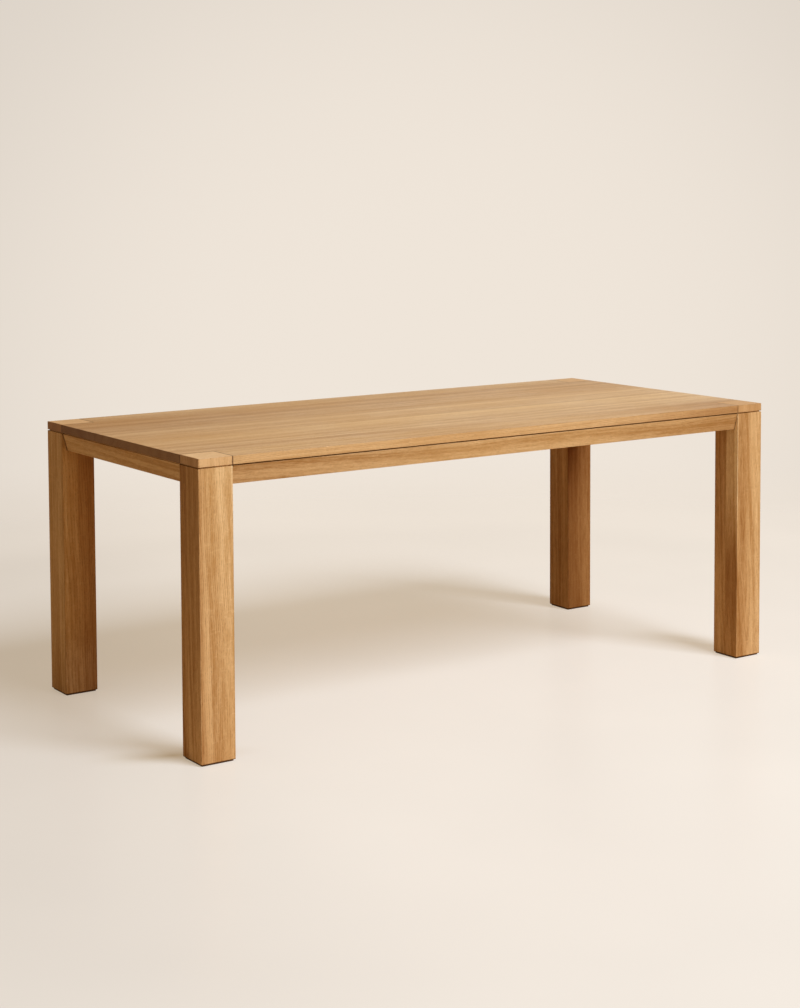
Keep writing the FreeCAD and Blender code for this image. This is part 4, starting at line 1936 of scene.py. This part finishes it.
        # Each shade paints a soft shadow into the floor's colour.
        for shade in self.shades:
            turned = tree.node("Mapping", vector_type="TEXTURE")
            tree.feed(turned.inputs["Vector"], place)
            tree.feed(turned.inputs["Location"], (*shade.place, 0.0))
            tree.feed(turned.inputs["Rotation"], (0.0, 0.0, shade.turn))
            tree.feed(turned.inputs["Scale"], (*shade.reach, 1.0))
            away = tree.vector("LENGTH", turned.outputs["Vector"], out="Value")
            near = tree.math("SUBTRACT", 1.0, away, clamp=True)
            share = tree.math("MULTIPLY", tree.math("MULTIPLY", near, near), shade.level)
            left = tree.mix(share, left, tree.vector("MULTIPLY", left, self.shade_colour))
        return left

    def world(self) -> None:
        """Makes the backdrop, its reflection and the weak fill that comes from all round."""
        world = bpy.data.worlds.new("studio")
        bpy.context.scene.world = world
        world.use_nodes = True
        tree = Tree(world.node_tree)
        direction = tree.vector("NORMALIZE", tree.node("TexCoord").outputs["Generated"])
        nearness = tree.vector("DOT_PRODUCT", direction, self.backdrop_middle, out="Value")
        tone = tree.ease(nearness, self.backdrop_spread, 1.0, self.backdrop_dim, 1.0)
        backdrop = tree.scaled(self.backdrop_colour, tone)
        fill = tree.scaled(self.fill_colour, self.fill_level)
        path = tree.node("LightPath").outputs
        aside = tree.vector("DOT_PRODUCT", direction, self.sheen_direction, out="Value")
        reach = tree.ease(aside, *self.sheen_spread, self.sheen_least)
        sheen = tree.math("MULTIPLY", path["Is Glossy Ray"], reach)
        share = tree.math("MAXIMUM", path["Is Camera Ray"], sheen)
        tree.end(tree.shader("Background", Color=tree.mix(share, fill, backdrop)), "OutputWorld")

    def lamp(self) -> bpy.types.Object:
        """Hangs the soft lamp.

        Returns:
            The lamp.
        """
        data = bpy.data.lights.new("soft_lamp", "AREA")
        data.shape = "SQUARE"
        data.size = self.lamp_size
        data.energy = self.lamp_power
        data.color = self.lamp_colour
        lamp = into_scene("soft_lamp", data)
        lamp.visible_camera = False
        lamp.location = self.lamp_place
        outwards = Vector(self.lamp_place) - Vector(self.lamp_aim)
        lamp.rotation_euler = outwards.to_track_quat("Z", "Y").to_euler()
        return lamp

    def build(self) -> list[bpy.types.Object]:
        """Builds the stage.

        Returns:
            The floor and the lamp.
        """
        self.world()
        return [self.floor(), self.lamp()]


@dataclass
class Viewpoint:
    """Camera a little above the table's height, at its front left corner.

    Attributes:
        place: Where it stands.
        pitch: Tilt from straight down.
        yaw: Turn about the upright axis, from looking along +Y.
        roll: Turn about the line of sight.
        lens: Focal length in millimetres.
        sensor: Width of the sensor in millimetres.
        shift: Upward shift of the view, as a share of its long side.
    """

    place: Triple = (-3.1280, -4.4787, 1.4432)
    pitch: float = 86.109
    yaw: float = -34.469
    roll: float = -0.248
    lens: float = 67.910
    sensor: float = 36.0
    shift: float = -0.19800

    def build(self) -> list[bpy.types.Object]:
        """Sets up the camera.

        Returns:
            The camera.
        """
        data = bpy.data.cameras.new("camera")
        data.lens = self.lens
        data.sensor_width = self.sensor
        data.shift_y = self.shift
        camera = into_scene("camera", data)
        camera.location = self.place
        aimed = Euler((math.radians(self.pitch), 0.0, math.radians(self.yaw))).to_matrix()
        roll = Matrix.Rotation(math.radians(self.roll), 3, "Z")
        camera.rotation_euler = (aimed @ roll).to_euler()
        bpy.context.scene.camera = camera
        return [camera]


def main() -> None:
    """Builds the table's looks and its stage."""
    logging.basicConfig(level=logging.INFO, format="%(name)s: %(message)s")
    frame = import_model()
    bpy.context.scene.view_settings.view_transform = "Standard"
    effects = Effects()
    assemblies = [
        TableTop(effects),
        LegSet(effects),
        ApronFrame(effects),
        Underside(effects, frame["nodes"]),
        Studio(),
        Viewpoint(),
    ]
    for assembly in assemblies:
        for piece in assembly.build():
            LOG.info("%s: %s", type(assembly).__name__, piece.name)


if __name__ == "__main__":
    main()
